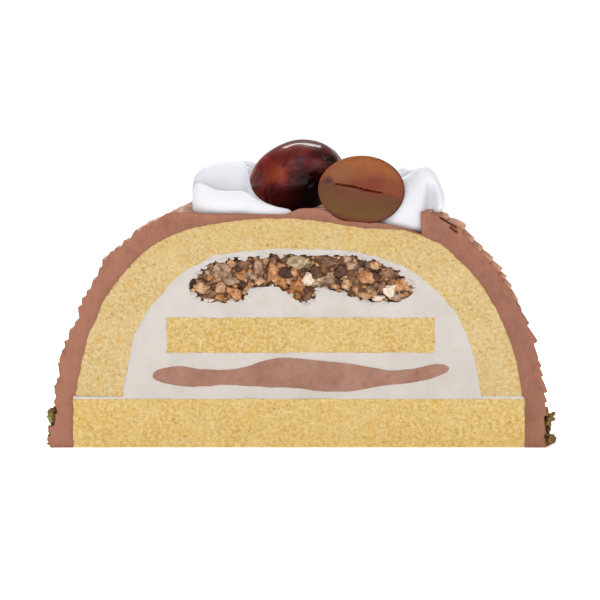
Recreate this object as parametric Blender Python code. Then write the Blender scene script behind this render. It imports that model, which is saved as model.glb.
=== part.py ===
"""A half-round roll cake, cut square at both ends.

A sponge arch stands on a base sponge and is filled with cream, a strip of sponge, a band of chestnut
cream and chopped chestnuts. The arch is coated with ridged chestnut cream, and carries ruffles of
whipped cream and candied chestnuts.
X runs across the cake, Y along it and Z up. The origin is the middle of the underside.
The sizes below are in millimetres, and each object is made in metres.
"""

import math
import random

import bmesh
import bpy
from mathutils import Euler, Matrix, Vector, noise

MM = 0.001
GAP = 0.3
CAKE_LENGTH = 150.0
FRONT = -CAKE_LENGTH / 2

# Base sponge, and the line of cream that it carries under the arch
BASE_HALF_WIDTH = 53.6
BASE_HEIGHT = 11.3
CREAM_LINE = 0.5
CORNER = 0.8

# Half-round sections: half width at the underside, height above the underside, power of the curve
ARCH_OUTSIDE = (53.5, 54.2, 2.75)
ARCH_INSIDE = (43.2, 48.2, 2.5)
COAT = (58.8, 63.5, 2.25)

# Layers in the filling
STRIP_HALF_WIDTH = 31.9
STRIP_HEIGHT = 8.4
STRIP_MIDDLE = 26.9
BAND_HALF_WIDTH = 35.3
BAND_MIDDLE = 16.8
NUT_HALF_WIDTH = 27.2
NUT_COVER = 1.8
NUT_FLOOR = 34.7

# Chestnut cream coat
TOOTH_STEP = 0.45
TEETH = {  # mean tooth along the surface, how deep it is, and how uneven
    "left": (2.75, 1.05, 0.28),
    "right": (3.3, 0.75, 0.35),
}
RIM = {"left": 28.2, "right": 28.6}
TROUGH_FLOOR = 56.1
COAT_THINNEST = 0.3
STATION_STEP = 15.0

# Chopped pistachio along the foot of the coat
CRUMB_BAND = (1.6, 8.2)
CRUMB_RADIUS = (1.05, 1.6)
CRUMBS_PER_SIDE = 50

# Whipped cream ruffles and chestnuts
RUFFLE_PITCH = 26.8
RUFFLES_PER_SIDE = 6
RUFFLE_SIZE = {"left": (14.4, 11.2, 12.4), "right": (14.4, 11.0, 8.9)}
RUFFLE_MIDDLE = {"left": -18.3, "right": 27.5}
RUFFLE_FOOT_LIMIT = 27.4
CHESTNUT_RADII = (11.8, 8.0, 7.6)
CHESTNUT_PITCH = 20.4
CHESTNUTS = 7

COLOURS = {
    "sponge": (0.80, 0.58, 0.24),
    "cream": (0.80, 0.76, 0.72),
    "chestnut cream": (0.40, 0.19, 0.13),
    "chopped chestnut": (0.28, 0.17, 0.09),
    "whipped cream": (0.86, 0.86, 0.88),
    "chestnut": (0.11, 0.02, 0.012),
    "chestnut flesh": (0.30, 0.13, 0.05),
}


def clear_scene():
    for obj in list(bpy.data.objects):
        bpy.data.objects.remove(obj)


def make_collection(name):
    collection = bpy.data.collections.new(name)
    bpy.context.scene.collection.children.link(collection)
    return collection


def make_material(name, roughness):
    material = bpy.data.materials.new(name)
    material.use_nodes = True
    shader = material.node_tree.nodes["Principled BSDF"]
    shader.inputs["Base Color"].default_value = (*COLOURS[name], 1.0)
    shader.inputs["Roughness"].default_value = roughness
    shader.inputs["Metallic"].default_value = 0.0
    return material


def add_object(name, data, material, collection):
    obj = bpy.data.objects.new(name, data)
    obj.data.materials.append(material)
    collection.objects.link(obj)
    return obj


def mesh_object(name, bm, material, collection):
    bmesh.ops.recalc_face_normals(bm, faces=bm.faces)
    bmesh.ops.scale(bm, vec=(MM, MM, MM), verts=bm.verts)
    mesh = bpy.data.meshes.new(name)
    bm.to_mesh(mesh)
    bm.free()
    return add_object(name, mesh, material, collection)


# Outlines are lists of (x, z) that run from the right foot over the top to the left foot.


def round_height(section, x):
    """Height of a half-round section above the underside at x."""
    half_width, height, power = section
    inside = max(0.0, 1.0 - (abs(x) / half_width) ** power)
    return height * inside ** (1.0 / power)


def round_half_width(section, z):
    """Half width of a half-round section at height z."""
    half_width, height, power = section
    inside = max(0.0, 1.0 - (z / height) ** power)
    return half_width * inside ** (1.0 / power)


def round_outline(section, foot, count, grow=0.0):
    """A half-round section from foot upwards, moved outwards by grow."""
    half_width, height, power = section
    bigger = (half_width + grow, height + grow, power)
    start = math.asin((foot / bigger[1]) ** (power / 2.0))
    points = []
    for i in range(count + 1):
        angle = start + (math.pi - 2.0 * start) * i / count
        across, up = math.cos(angle), math.sin(angle)
        x = bigger[0] * math.copysign(abs(across) ** (2.0 / power), across)
        points.append((x, bigger[1] * up ** (2.0 / power)))
    return points


def flat_outline(half_width, low, high, corner):
    """A rectangle with corners rounded by two-point chamfers."""
    return [
        (half_width, low + corner),
        (half_width, high - corner),
        (half_width - corner, high),
        (corner - half_width, high),
        (-half_width, high - corner),
        (-half_width, low + corner),
        (corner - half_width, low),
        (half_width - corner, low),
    ]


def hump(x, middle, width, height, power=2):
    """A smooth rise of that height about the middle. A higher power makes it flatter on top."""
    return height * math.exp(-(abs((x - middle) / width) ** power))


def band_outline(grow=0.0, count=26):
    """The chestnut cream band: piped lobes of uneven thickness, round at both ends."""
    reach = BAND_HALF_WIDTH + grow
    upper, lower = [], []
    for i in range(count + 1):
        x = -reach * math.cos(math.pi * i / count)
        middle = BAND_MIDDLE + hump(x, -4.0, 9.0, 1.2) + hump(x, -32.0, 5.0, 0.6) + hump(x, 36.0, 7.5, 2.2)
        half = 1.6 + hump(x, 2.0, 15.0, 1.9, 4) + hump(x, -28.0, 6.5, 0.7)
        half = (half + grow) * max(0.0, 1.0 - (abs(x) / reach) ** 16) ** 0.5
        upper.append((x, middle + half))
        lower.append((x, middle - half))
    return upper[::-1] + lower[1:-1]


def nut_heights(x):
    """Lower and upper edge of the chopped chestnuts at x."""
    upper = round_height(ARCH_INSIDE, x) - NUT_COVER + hump(x, -24.0, 9.0, 0.8)
    lower = NUT_FLOOR + hump(x, -7.6, 4.2, 3.5) + hump(x, 7.5, 4.5, 3.0)
    return lower, upper


def nut_outline(shrink=0.0, count=22):
    reach = NUT_HALF_WIDTH - shrink
    upper, lower = [], []
    for i in range(count + 1):
        x = -reach * math.cos(math.pi * i / count)
        low, high = nut_heights(x)
        close = max(0.0, 1.0 - (abs(x) / reach) ** 10) ** 0.5
        middle, half = (low + high) / 2.0, ((high - low) / 2.0 - shrink) * close
        upper.append((x, middle + half))
        lower.append((x, middle - half))
    return upper[::-1] + lower[1:-1]


def filling_outline():
    """The filling's own edge: inside the arch, with the line of cream out over the base sponge."""
    low = BASE_HEIGHT + GAP
    high = low + CREAM_LINE
    reach = BASE_HALF_WIDTH - 1.2
    inside = round_outline(ARCH_INSIDE, high, 36, -GAP)
    return [(reach, low), (reach, high)] + inside + [(-reach, high), (-reach, low)]


def prism(name, outlines, material, collection, length=CAKE_LENGTH):
    """A flat outline, with holes where there are more outlines, drawn out along the cake."""
    curve = bpy.data.curves.new(name, "CURVE")
    curve.dimensions = "2D"
    curve.fill_mode = "BOTH"
    curve.extrude = length / 2 * MM
    for outline in outlines:
        spline = curve.splines.new("POLY")
        spline.points.add(len(outline) - 1)
        for point, (x, z) in zip(spline.points, outline):
            point.co = (x * MM, z * MM, 0.0, 1.0)
        spline.use_cyclic_u = True
    obj = add_object(name, curve, material, collection)
    obj.rotation_euler = (math.pi / 2, 0.0, 0.0)
    return obj


def as_mesh(obj, collection):
    """The object as a mesh object of the same name and place."""
    bpy.context.view_layer.update()
    graph = bpy.context.evaluated_depsgraph_get()
    mesh = bpy.data.meshes.new_from_object(obj.evaluated_get(graph))
    bm = bmesh.new()
    bm.from_mesh(mesh)
    bmesh.ops.remove_doubles(bm, verts=bm.verts, dist=0.01 * MM)
    bmesh.ops.recalc_face_normals(bm, faces=bm.faces)
    bm.to_mesh(mesh)
    bm.free()
    name, place, materials = obj.name, obj.matrix_world.copy(), list(obj.data.materials)
    bpy.data.objects.remove(obj)
    made = bpy.data.objects.new(name, mesh)
    made.data.materials.clear()
    for material in materials:
        made.data.materials.append(material)
    made.matrix_world = place
    collection.objects.link(made)
    return made


def join_rings(bm, rings):
    """Faces between rings of equal length, and an end face on the first and last."""
    made = [[bm.verts.new(point) for point in ring] for ring in rings]
    for one, other in zip(made, made[1:]):
        for i in range(len(one)):
            j = (i + 1) % len(one)
            bm.faces.new((one[i], one[j], other[j], other[i]))
    bm.faces.new(made[0][::-1])
    bm.faces.new(made[-1])


# The coat of chestnut cream


def flank_path(side, rim):
    """Points (arc length, x, z, outward x, outward z) of the coat's flank, from its foot to the rim."""
    sign = 1.0 if side == "right" else -1.0
    top = round_height(COAT, rim)
    path, arc, before = [], 0.0, None
    count = 90
    for i in range(count + 1):
        share = math.sin(math.pi / 2 * i / count)
        z = top * share
        x = round_half_width(COAT, z)
        if before:
            arc += math.hypot(x - before[0], z - before[1])
        before = (x, z)
        path.append([arc, sign * x, z])
    for i, point in enumerate(path):
        ahead, behind = path[min(i + 1, count)], path[max(i - 1, 0)]
        along = Vector((ahead[1] - behind[1], ahead[2] - behind[2])).normalized()
        point += [sign * along.y, -sign * along.x]
    return path


def on_path(path, arc, out):
    """The point at that arc length, moved outwards by out."""
    for one, other in zip(path, path[1:]):
        if other[0] >= arc:
            break
    share = (arc - one[0]) / max(1e-6, other[0] - one[0])
    x, z, nx, nz = (a + (b - a) * share for a, b in zip(one[1:], other[1:]))
    return (x + nx * out, max(0.0, z + nz * out))


def tooth_arcs(side, length, rng):
    """Arc lengths where one ridge ends and the next begins, and each ridge's depth."""
    pitch, depth, uneven = TEETH[side]
    arcs, depths, arc = [0.0], [], 0.0
    while arc < length - 1.6 * pitch:
        arc += pitch * (1.0 + uneven * rng.uniform(-1.0, 1.0))
        arcs.append(arc)
        depths.append(depth * rng.uniform(0.65, 1.2))
    arcs.append(length)
    depths.append(depth * 0.6)
    return arcs, depths


def wander(y, row, size, reach=17.0):
    """A smooth sideways drift along the cake, different for each row."""
    return size * noise.noise(Vector((y / reach, row * 7.3, 2.1)))


def flank_outline(side, teeth, y, rim):
    """The ridged flank at a station, from the foot up. Every ridge's proud lip points clockwise."""
    path = flank_path(side, rim)
    arcs, depths = teeth
    stretch = path[-1][0] / arcs[-1]
    points = [on_path(path, 0.0, 0.0)]
    row_shift = 0.0 if side == "left" else 50.0
    for k, depth in enumerate(depths):
        low = arcs[k] + (wander(y, k + row_shift, 0.5) if k else 0.0)
        high = arcs[k + 1] + (wander(y, k + 1 + row_shift, 0.5) if k + 1 < len(depths) else 0.0)
        proud = depth * (1.0 + wander(y, k + row_shift + 100, 0.6)) + wander(y, row_shift, 0.3, 30.0)
        start, end = low + TOOTH_STEP * (k > 0), high
        outs = (0.1, proud) if side == "left" else (proud, 0.1)
        points.append(on_path(path, (start + 0.15) * stretch, outs[0]))
        points.append(on_path(path, end * stretch, outs[1]))
    return points


def trough_height(x, y):
    """The coat under the toppings: level on the left, thin over the arch on the right."""
    thin = round_height(ARCH_OUTSIDE, x) + GAP + COAT_THINNEST
    share = min(1.0, max(0.0, (x - 5.0) / 5.0))
    height = TROUGH_FLOOR + (thin - TROUGH_FLOOR) * share * share * (3.0 - 2.0 * share)
    height -= hump(x, -30.0, 6.0, 0.8)
    front_only = math.exp(-(((y - FRONT) / 5.0) ** 2))
    height += hump(x, 1.8, 4.0, 1.1) * front_only
    return max(height, thin)


def coat_ring(y, teeth):
    """The closed outline of the coat's outside at y."""
    opened = 3.8 * math.exp(-(((y - FRONT) / 6.0) ** 2))
    rims = {
        "right": RIM["right"] + wander(y, 200, 0.5, 25.0),
        "left": RIM["left"] + opened + wander(y, 201, 0.5, 25.0),
    }
    right = flank_outline("right", teeth["right"], y, rims["right"])
    left = flank_outline("left", teeth["left"], y, rims["left"])
    start, end = rims["right"] - 0.4, 1.2 - rims["left"]
    floor = []
    count = 13
    for i in range(count + 1):
        x = start + (end - start) * i / count
        floor.append((x, min(trough_height(x, y), round_height(COAT, abs(x)))))
    return [(x, y, z) for x, z in right + floor + left[::-1]]


def make_crumb(rng, radius, place):
    """A chopped pistachio: a blunt chip with uneven corners."""
    bm = bmesh.new()
    bmesh.ops.create_icosphere(bm, subdivisions=1, radius=radius)
    flatten = Vector((rng.uniform(0.75, 1.0), rng.uniform(0.8, 1.15), rng.uniform(0.7, 1.0)))
    turn = Euler([rng.uniform(0.0, math.tau) for _ in range(3)]).to_matrix()
    for vert in bm.verts:
        vert.co *= rng.uniform(0.82, 1.12)
        vert.co = turn @ Vector(a * b for a, b in zip(vert.co, flatten)) + Vector(place)
    return bm


def crumb_places(side, rng):
    """Where the pistachio chips sit: two loose rows, even along the cake."""
    path = flank_path(side, RIM[side])
    low, high = CRUMB_BAND
    for i in range(CRUMBS_PER_SIDE):
        radius = rng.uniform(*CRUMB_RADIUS)
        run = CAKE_LENGTH - 2.0 * CRUMB_RADIUS[1] - 0.8
        y = FRONT + CRUMB_RADIUS[1] + 0.4 + run * (i + rng.uniform(0.2, 0.8)) / CRUMBS_PER_SIDE
        height = low + (high - low) * (rng.uniform(0.0, 0.42) if i % 2 else rng.uniform(0.5, 1.0))
        x, z = on_path(path, max(height, radius * 1.15 + 0.2), radius * 0.2 + 0.35)
        yield radius, (x, y, z)


def boolean(target, operand, operation, collection=False):
    modifier = target.modifiers.new(operation.title(), "BOOLEAN")
    modifier.operation = operation
    modifier.solver = "EXACT"
    if collection:
        modifier.operand_type = "COLLECTION"
        modifier.collection = operand
    else:
        modifier.object = operand
    return modifier


def apply_modifiers(obj):
    bpy.context.view_layer.update()
    graph = bpy.context.evaluated_depsgraph_get()
    mesh = bpy.data.meshes.new_from_object(obj.evaluated_get(graph))
    obj.modifiers.clear()
    obj.data = mesh


def make_coat(material, collection, cutters):
    rng = random.Random(11)
    teeth = {}
    for side in ("right", "left"):
        teeth[side] = tooth_arcs(side, flank_path(side, RIM[side])[-1][0], rng)
    stations = round(CAKE_LENGTH / STATION_STEP)
    bm = bmesh.new()
    join_rings(bm, [coat_ring(FRONT + CAKE_LENGTH * j / stations, teeth) for j in range(stations + 1)])
    coat = mesh_object("outer_cream", bm, material, collection)

    inside = [(x, z) for x, z in round_outline(ARCH_OUTSIDE, BASE_HEIGHT, 48, GAP)]
    wall = BASE_HALF_WIDTH + GAP
    deep = [(wall, -2.0), (wall, BASE_HEIGHT)] + inside + [(-wall, BASE_HEIGHT), (-wall, -2.0)]
    hollow = as_mesh(prism("hollow", [deep], material, cutters, CAKE_LENGTH + 4.0), cutters)
    hollow.hide_render = True
    hollow.display_type = "WIRE"
    boolean(coat, hollow, "DIFFERENCE")

    crumbs = make_collection("pistachio crumbs")
    for side in ("left", "right"):
        for radius, place in crumb_places(side, rng):
            mesh_object("crumb", make_crumb(rng, radius, place), material, crumbs)
    boolean(coat, crumbs, "UNION", collection=True)
    apply_modifiers(coat)
    for crumb in list(crumbs.objects):
        bpy.data.objects.remove(crumb)
    bpy.data.collections.remove(crumbs)
    return coat


# The chopped chestnuts


def nut_places(rng, count=26):
    """Middles and radii of the pieces that show at a cut end: most along the edge of the heap."""
    places = []
    for _ in range(2500):
        radius = rng.uniform(1.3, 2.6)
        x = rng.uniform(-1.0, 1.0) * (NUT_HALF_WIDTH - radius - 0.9)
        rooms = [nut_heights(x + shift) for shift in (-radius, 0.0, radius)]
        low, high = max(room[0] for room in rooms), min(room[1] for room in rooms)
        close = max(0.0, 1.0 - ((abs(x) + radius) / NUT_HALF_WIDTH) ** 10) ** 0.5
        middle, half = (low + high) / 2.0, (high - low) / 2.0 * close - 1.12 * radius - 0.35
        z = middle + rng.choice((-1.0, -1.0, 1.0, 1.0, rng.uniform(-0.8, 0.8))) * half
        if half > 0.0 and all(math.hypot(x - a, z - b) > 0.85 * (radius + r) for a, b, r in places):
            places.append((x, z, radius))
        if len(places) == count:
            break
    return places


def make_nuts(material, collection):
    rng = random.Random(5)
    recess = 0.9
    core = prism("chopped_chestnut", [nut_outline(0.9)], material, collection, CAKE_LENGTH - 2 * recess)
    core = as_mesh(core, collection)
    pieces = make_collection("chestnut pieces")
    for end in (-1.0, 1.0):
        for x, z, radius in nut_places(rng):
            sunk = CAKE_LENGTH / 2 - radius * rng.uniform(0.35, 0.8)
            flush = CAKE_LENGTH / 2 - rng.uniform(0.0, 0.4)
            bm = make_crumb(rng, radius, (x, end * sunk, z))
            for vert in bm.verts:
                vert.co.y = max(-flush, min(flush, vert.co.y))
            mesh_object("piece", bm, material, pieces)
    boolean(core, pieces, "UNION", collection=True)
    apply_modifiers(core)
    for piece in list(pieces.objects):
        bpy.data.objects.remove(piece)
    bpy.data.collections.remove(pieces)
    return core


# Ruffles of whipped cream: a ribbon whose section, from the front foot over the lip to the back foot,
# is given as shares of the ruffle's depth and height.
RUFFLE_SECTION = [
    (0.05, 0.0), (-0.02, 0.2), (0.02, 0.4), (0.2, 0.5), (0.38, 0.64), (0.36, 0.86), (0.3, 0.98),
    (0.46, 1.0), (0.68, 0.82), (0.87, 0.5), (0.97, 0.18), (1.0, 0.0),
]  # fmt: skip
# Across the ruffle, from its outer side: share of its half width, height, depth and how open its pocket is
RUFFLE_SPAN = [
    (-1.0, 0.42, 0.5, 0.0), (-0.86, 0.72, 0.78, 0.3), (-0.5, 0.88, 0.95, 0.9), (-0.05, 0.95, 1.0, 1.0),
    (0.04, 0.96, 1.0, 1.0), (0.4, 1.0, 1.0, 1.0), (0.72, 0.96, 0.9, 0.7), (0.92, 0.55, 0.72, 0.2),
    (1.0, 0.25, 0.5, 0.0),
]  # fmt: skip


def ruffle_floor(side, x):
    """Height of the underside of a ruffle: on the right it fills the hollow and laps over the rim."""
    if side == "left":
        return TROUGH_FLOOR + GAP
    if x <= RUFFLE_FOOT_LIMIT:
        return trough_height(x, 0.0) + GAP + 0.1
    return round_height(COAT, x) + 1.3


def make_ruffle(name, side, y, turn, size, material, collection):
    width, depth, height = size
    outward = -1.0 if side == "left" else 1.0
    middle, top = RUFFLE_MIDDLE[side], TROUGH_FLOOR + GAP + (1.7 if side == "right" else 0.0)
    rings = []
    for across, tall, deep, pocket in RUFFLE_SPAN:
        x = -outward * across * width / 2
        low, ring = ruffle_floor(side, middle + x), []
        for d, h in RUFFLE_SECTION:
            chord = 0.12 + 0.3 * h if d < 0.45 else d
            d = chord + (d - chord) * pocket
            ring.append((x, ((d - 0.5) * deep + 0.5) * depth, low + h * (top + tall * height - low)))
        rings.append(ring)
    bm = bmesh.new()
    join_rings(bm, rings)
    bmesh.ops.rotate(bm, cent=(0, depth / 2, 0), matrix=Matrix.Rotation(turn, 3, "Z"), verts=bm.verts)
    bmesh.ops.translate(bm, vec=(middle, y, 0.0), verts=bm.verts)
    ruffle = mesh_object(name, bm, material, collection)
    ruffle.data.shade_smooth()
    return ruffle


def make_chestnut(name, place, turn, radii, material, collection, cut=False):
    """An ovoid nut with a blunt tip at its +X end, cut across at the front where it is halved."""
    bm = bmesh.new()
    bmesh.ops.create_uvsphere(bm, u_segments=12, v_segments=8, radius=1.0)
    for vert in bm.verts:
        x, y, z = vert.co.z, vert.co.x, vert.co.y
        slim = 1.0 - 0.1 * x
        tip = 0.06 * max(0.0, x) ** 8
        vert.co = ((x + tip) * radii[0], y * slim * radii[1], z * slim * radii[2])
    bmesh.ops.rotate(bm, cent=(0, 0, 0), matrix=Euler(turn).to_matrix(), verts=bm.verts)
    bmesh.ops.translate(bm, vec=place, verts=bm.verts)
    if cut:
        everything = list(bm.verts) + list(bm.edges) + list(bm.faces)
        bmesh.ops.bisect_plane(
            bm, geom=everything, plane_co=(0, FRONT, 0), plane_no=(0, -1, 0), clear_outer=True
        )
        bmesh.ops.holes_fill(bm, edges=[edge for edge in bm.edges if edge.is_boundary])
    nut = mesh_object(name, bm, material, collection)
    nut.data.shade_smooth()
    return nut


def make_toppings(whipped, chestnut, flesh, collection, cutters):
    rng = random.Random(23)
    nuts, ruffles = [], []
    long, deep, tall = CHESTNUT_RADII
    nuts.append(((14.8, FRONT, 62.5), (0.0, math.radians(9.0), math.pi), (10.3, 7.2, 8.0)))
    for i in range(CHESTNUTS):
        grow = rng.uniform(0.93, 1.0) if i else 1.0
        lean = math.radians(-28.0 + (rng.uniform(-2.0, 14.0) if i else 0.0))
        spin = math.radians(rng.uniform(-25.0, 25.0)) if i else 0.0
        place = (-1.4 if i % 2 == 0 else 1.2, FRONT + 17.0 + CHESTNUT_PITCH * i, TROUGH_FLOOR + 9.1)
        nuts.append((place, (0.0, lean, spin), (long * grow, deep * grow, tall * grow)))
    for i, (place, turn, radii) in enumerate(nuts):
        name = f"chestnut_{i}" if i else "chestnut_half"
        make_chestnut(name, place, turn, radii, chestnut if i else flesh, collection, cut=not i)
        grown = [radius + GAP for radius in radii]
        room = make_chestnut("room", place, turn, grown, chestnut, cutters)
        room.hide_render = True
        room.display_type = "WIRE"
        nuts[i] = (Vector(place), room)

    for i in range(2 * RUFFLES_PER_SIDE):
        row, side = i % RUFFLES_PER_SIDE, ("left", "right")[i // RUFFLES_PER_SIDE]
        grow = rng.uniform(0.93, 1.0) if row else 1.0
        size = [grow * length for length in RUFFLE_SIZE[side]]
        swing = {"left": 9.0, "right": 2.0}[side] * rng.uniform(-1.0, 1.0) if row else 0.0
        y = FRONT + 1.2 + RUFFLE_PITCH * row
        name = f"cream_ruffle_{side}_{row + 1}"
        ruffle = make_ruffle(name, side, y, math.radians(swing), size, whipped, collection)
        where = Vector((RUFFLE_MIDDLE[side], y + size[1] / 2, nuts[0][0].z))
        for centre, room in nuts:
            if (centre - where).length < 20.0:
                boolean(ruffle, room, "DIFFERENCE")
        ruffles.append(ruffle)
    for ruffle in ruffles:
        apply_modifiers(ruffle)


def main():
    clear_scene()
    cake = make_collection("half-round roll cake")
    cutters = make_collection("cutters")
    sponge = make_material("sponge", 0.9)
    cream = make_material("cream", 0.6)
    chestnut_cream = make_material("chestnut cream", 0.65)
    chopped = make_material("chopped chestnut", 0.6)
    whipped = make_material("whipped cream", 0.4)
    chestnut = make_material("chestnut", 0.15)
    flesh = make_material("chestnut flesh", 0.4)

    prism("base_sponge", [flat_outline(BASE_HALF_WIDTH, 0.0, BASE_HEIGHT, CORNER)], sponge, cake)
    foot = BASE_HEIGHT + 2.0 * GAP + CREAM_LINE
    arch = round_outline(ARCH_OUTSIDE, foot, 48) + round_outline(ARCH_INSIDE, foot, 36)[::-1]
    prism("sponge_arch", [arch], sponge, cake)

    low, high = STRIP_MIDDLE - STRIP_HEIGHT / 2, STRIP_MIDDLE + STRIP_HEIGHT / 2
    strip = flat_outline(STRIP_HALF_WIDTH, low, high, CORNER / 2)
    strip_hole = flat_outline(STRIP_HALF_WIDTH + GAP, low - GAP, high + GAP, CORNER / 2)
    prism("sponge_strip", [strip], sponge, cake)
    prism("chestnut_cream_band", [band_outline()], chestnut_cream, cake)
    holes = [strip_hole, band_outline(GAP), nut_outline(0.0)]
    prism("filling_cream", [filling_outline()] + holes, cream, cake)
    make_nuts(chopped, cake)
    make_coat(chestnut_cream, cake, cutters)
    make_toppings(whipped, chestnut, flesh, cake, cutters)


main()
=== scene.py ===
import math
import random

import bmesh
import bpy
import numpy as np
from mathutils import Euler, Matrix, Vector, noise
from mathutils.geometry import delaunay_2d_cdt
from mathutils.kdtree import KDTree


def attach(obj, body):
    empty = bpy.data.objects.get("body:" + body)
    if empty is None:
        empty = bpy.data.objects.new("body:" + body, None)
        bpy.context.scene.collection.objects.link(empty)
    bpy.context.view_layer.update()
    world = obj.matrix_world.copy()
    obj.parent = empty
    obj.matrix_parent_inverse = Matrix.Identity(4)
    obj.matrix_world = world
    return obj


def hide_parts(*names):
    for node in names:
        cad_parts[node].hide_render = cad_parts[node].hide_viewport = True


# All lengths are in millimetres, and become metres when a mesh is made.
mm = 0.001
noise.seed_set(7)  # the same wavy edges in every run
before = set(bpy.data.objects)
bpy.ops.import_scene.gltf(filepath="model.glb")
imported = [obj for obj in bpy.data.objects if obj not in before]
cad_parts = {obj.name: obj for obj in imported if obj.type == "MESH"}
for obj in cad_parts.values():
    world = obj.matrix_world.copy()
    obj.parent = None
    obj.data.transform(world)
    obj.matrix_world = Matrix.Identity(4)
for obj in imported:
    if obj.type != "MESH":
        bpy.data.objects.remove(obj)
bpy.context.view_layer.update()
print("cake loaded")

cake = {
    "cutAt": 75.0,  # the two cut ends, either side of the middle
    "archOutside": (53.5, 54.2, 2.75),  # half width, height, power of the curve
    "archInside": (43.2, 48.2, 2.5),
    "coat": (58.8, 63.5, 2.25),
    "baseLeft": -54.4,
    "baseRight": 53.6,
    "baseTop": 11.7,
    "creamLine": 0.65,
    # how far the cake bulges out of its mould's curve, by the angle up from the right foot
    "outsideBulge": [
        (13, -0.2), (19, -0.5), (25, -0.9), (31, -1.25), (37, -1.35), (43, -1.1), (50, -0.6), (56, 0.3),
        (65, 0.2), (70, -0.7), (74, -1.1), (78, -0.9), (82, -0.4), (86, 0.1), (90, 0.5), (97, 0.7),
        (110, 0.7), (117, 1.0), (126, 0.9), (131, 0.5), (137, -0.1), (143, 0.0), (147, -0.5), (151, 0.0),
        (160, 0.1), (164, 0.4), (168, 0.7),
    ],
    "insideBulge": [
        (19, 0.5), (30, 0.65), (37, 0.6), (41, 0.8), (48, 0.4), (60, 0.2), (70, -0.3), (80, -0.5),
        (88, -0.7), (97, -0.5), (105, -0.25), (110, 0.2), (114, 1.0), (119, 0.6), (126, 0.95), (131, 0.4),
        (138, 0.6), (143, 0.8), (148, 0.5), (153, 0.0), (161, -0.2),
    ],
}
front = -cake["cutAt"]
cakeLength = 2 * cake["cutAt"]


# Shapes that several pieces share


def hump(x, middle, width, height, power=2):
    # for one number or for a whole array
    return height * np.exp(-(abs((x - middle) / width) ** power))


def smooth(low, high, value):
    share = min(1.0, max(0.0, (value - low) / (high - low)))
    return share * share * (3.0 - 2.0 * share)


def ripple(x, y, z):
    return noise.noise(Vector((x, y, z)))


def pit(x, z, seed, width, depth):
    return max(0.0, 1.0 - noise.voronoi(Vector((x, z, seed)))[0][0] / width) * depth


def treeOf(points):
    # finds the nearest of flat points
    near = KDTree(len(points))
    for i, (x, z) in enumerate(points):
        near.insert((x, z, 0.0), i)
    near.balance()
    return near


def roundHeight(section, x):
    halfWidth, height, power = section
    return height * max(0.0, 1.0 - (abs(x) / halfWidth) ** power) ** (1.0 / power)


def roundHalfWidth(section, z):
    halfWidth, height, power = section
    return halfWidth * max(0.0, 1.0 - (z / height) ** power) ** (1.0 / power)


def roundLine(section, foot, count):
    # from the right foot over the top to the left foot
    halfWidth, height, power = section
    start = math.asin((foot / height) ** (power / 2.0))
    line = []
    for i in range(count + 1):
        angle = start + (math.pi - 2.0 * start) * i / count
        across = math.cos(angle)
        x = halfWidth * math.copysign(abs(across) ** (2.0 / power), across)
        line.append((x, height * math.sin(angle) ** (2.0 / power)))
    return line


def bulge(line, amounts):
    angles, outs = zip(*amounts)
    moved = []
    for x, z in line:
        out = float(np.interp(math.degrees(math.atan2(z, x)), angles, outs)) / math.hypot(x, z)
        moved.append((x * (1.0 + out), z * (1.0 + out)))
    return moved


def wobble(line, size, reach, seed):
    # a hand-made edge: each point drifts a little, the same wherever the line is used again
    moved = []
    for x, z in line:
        drift = noise.noise_vector(Vector((x / reach, z / reach, seed)))
        finer = noise.noise_vector(Vector((x / reach * 3.7, z / reach * 3.7, seed + 5.0)))
        moved.append((x + size * (drift.x + 0.45 * finer.x), z + size * (drift.z + 0.45 * finer.z)))
    return moved


def splitEvenly(loop, spacing, closed=True):
    points = []
    ends = loop[1:] + loop[:1] if closed else loop[1:]
    for (x, z), (xNext, zNext) in zip(loop, ends):
        pieces = max(1, round(math.hypot(xNext - x, zNext - z) / spacing))
        for i in range(pieces):
            points.append((x + (xNext - x) * i / pieces, z + (zNext - z) * i / pieces))
    if not closed:
        points.append(loop[-1])
    return points


def insideLoop(points, loop):
    # which of the points lie inside the loop
    x, z = points[:, 0], points[:, 1]
    inside = np.zeros(len(points), bool)
    for (xa, za), (xb, zb) in zip(loop, loop[1:] + loop[:1]):
        if za != zb:
            crossing = ((za > z) != (zb > z)) & (x < (xb - xa) * (z - za) / (zb - za) + xa)
            inside ^= crossing
    return inside


def inLayer(points, outline, holes):
    kept = insideLoop(points, outline)
    for hole in holes:
        kept &= ~insideLoop(points, hole)
    return kept


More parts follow.
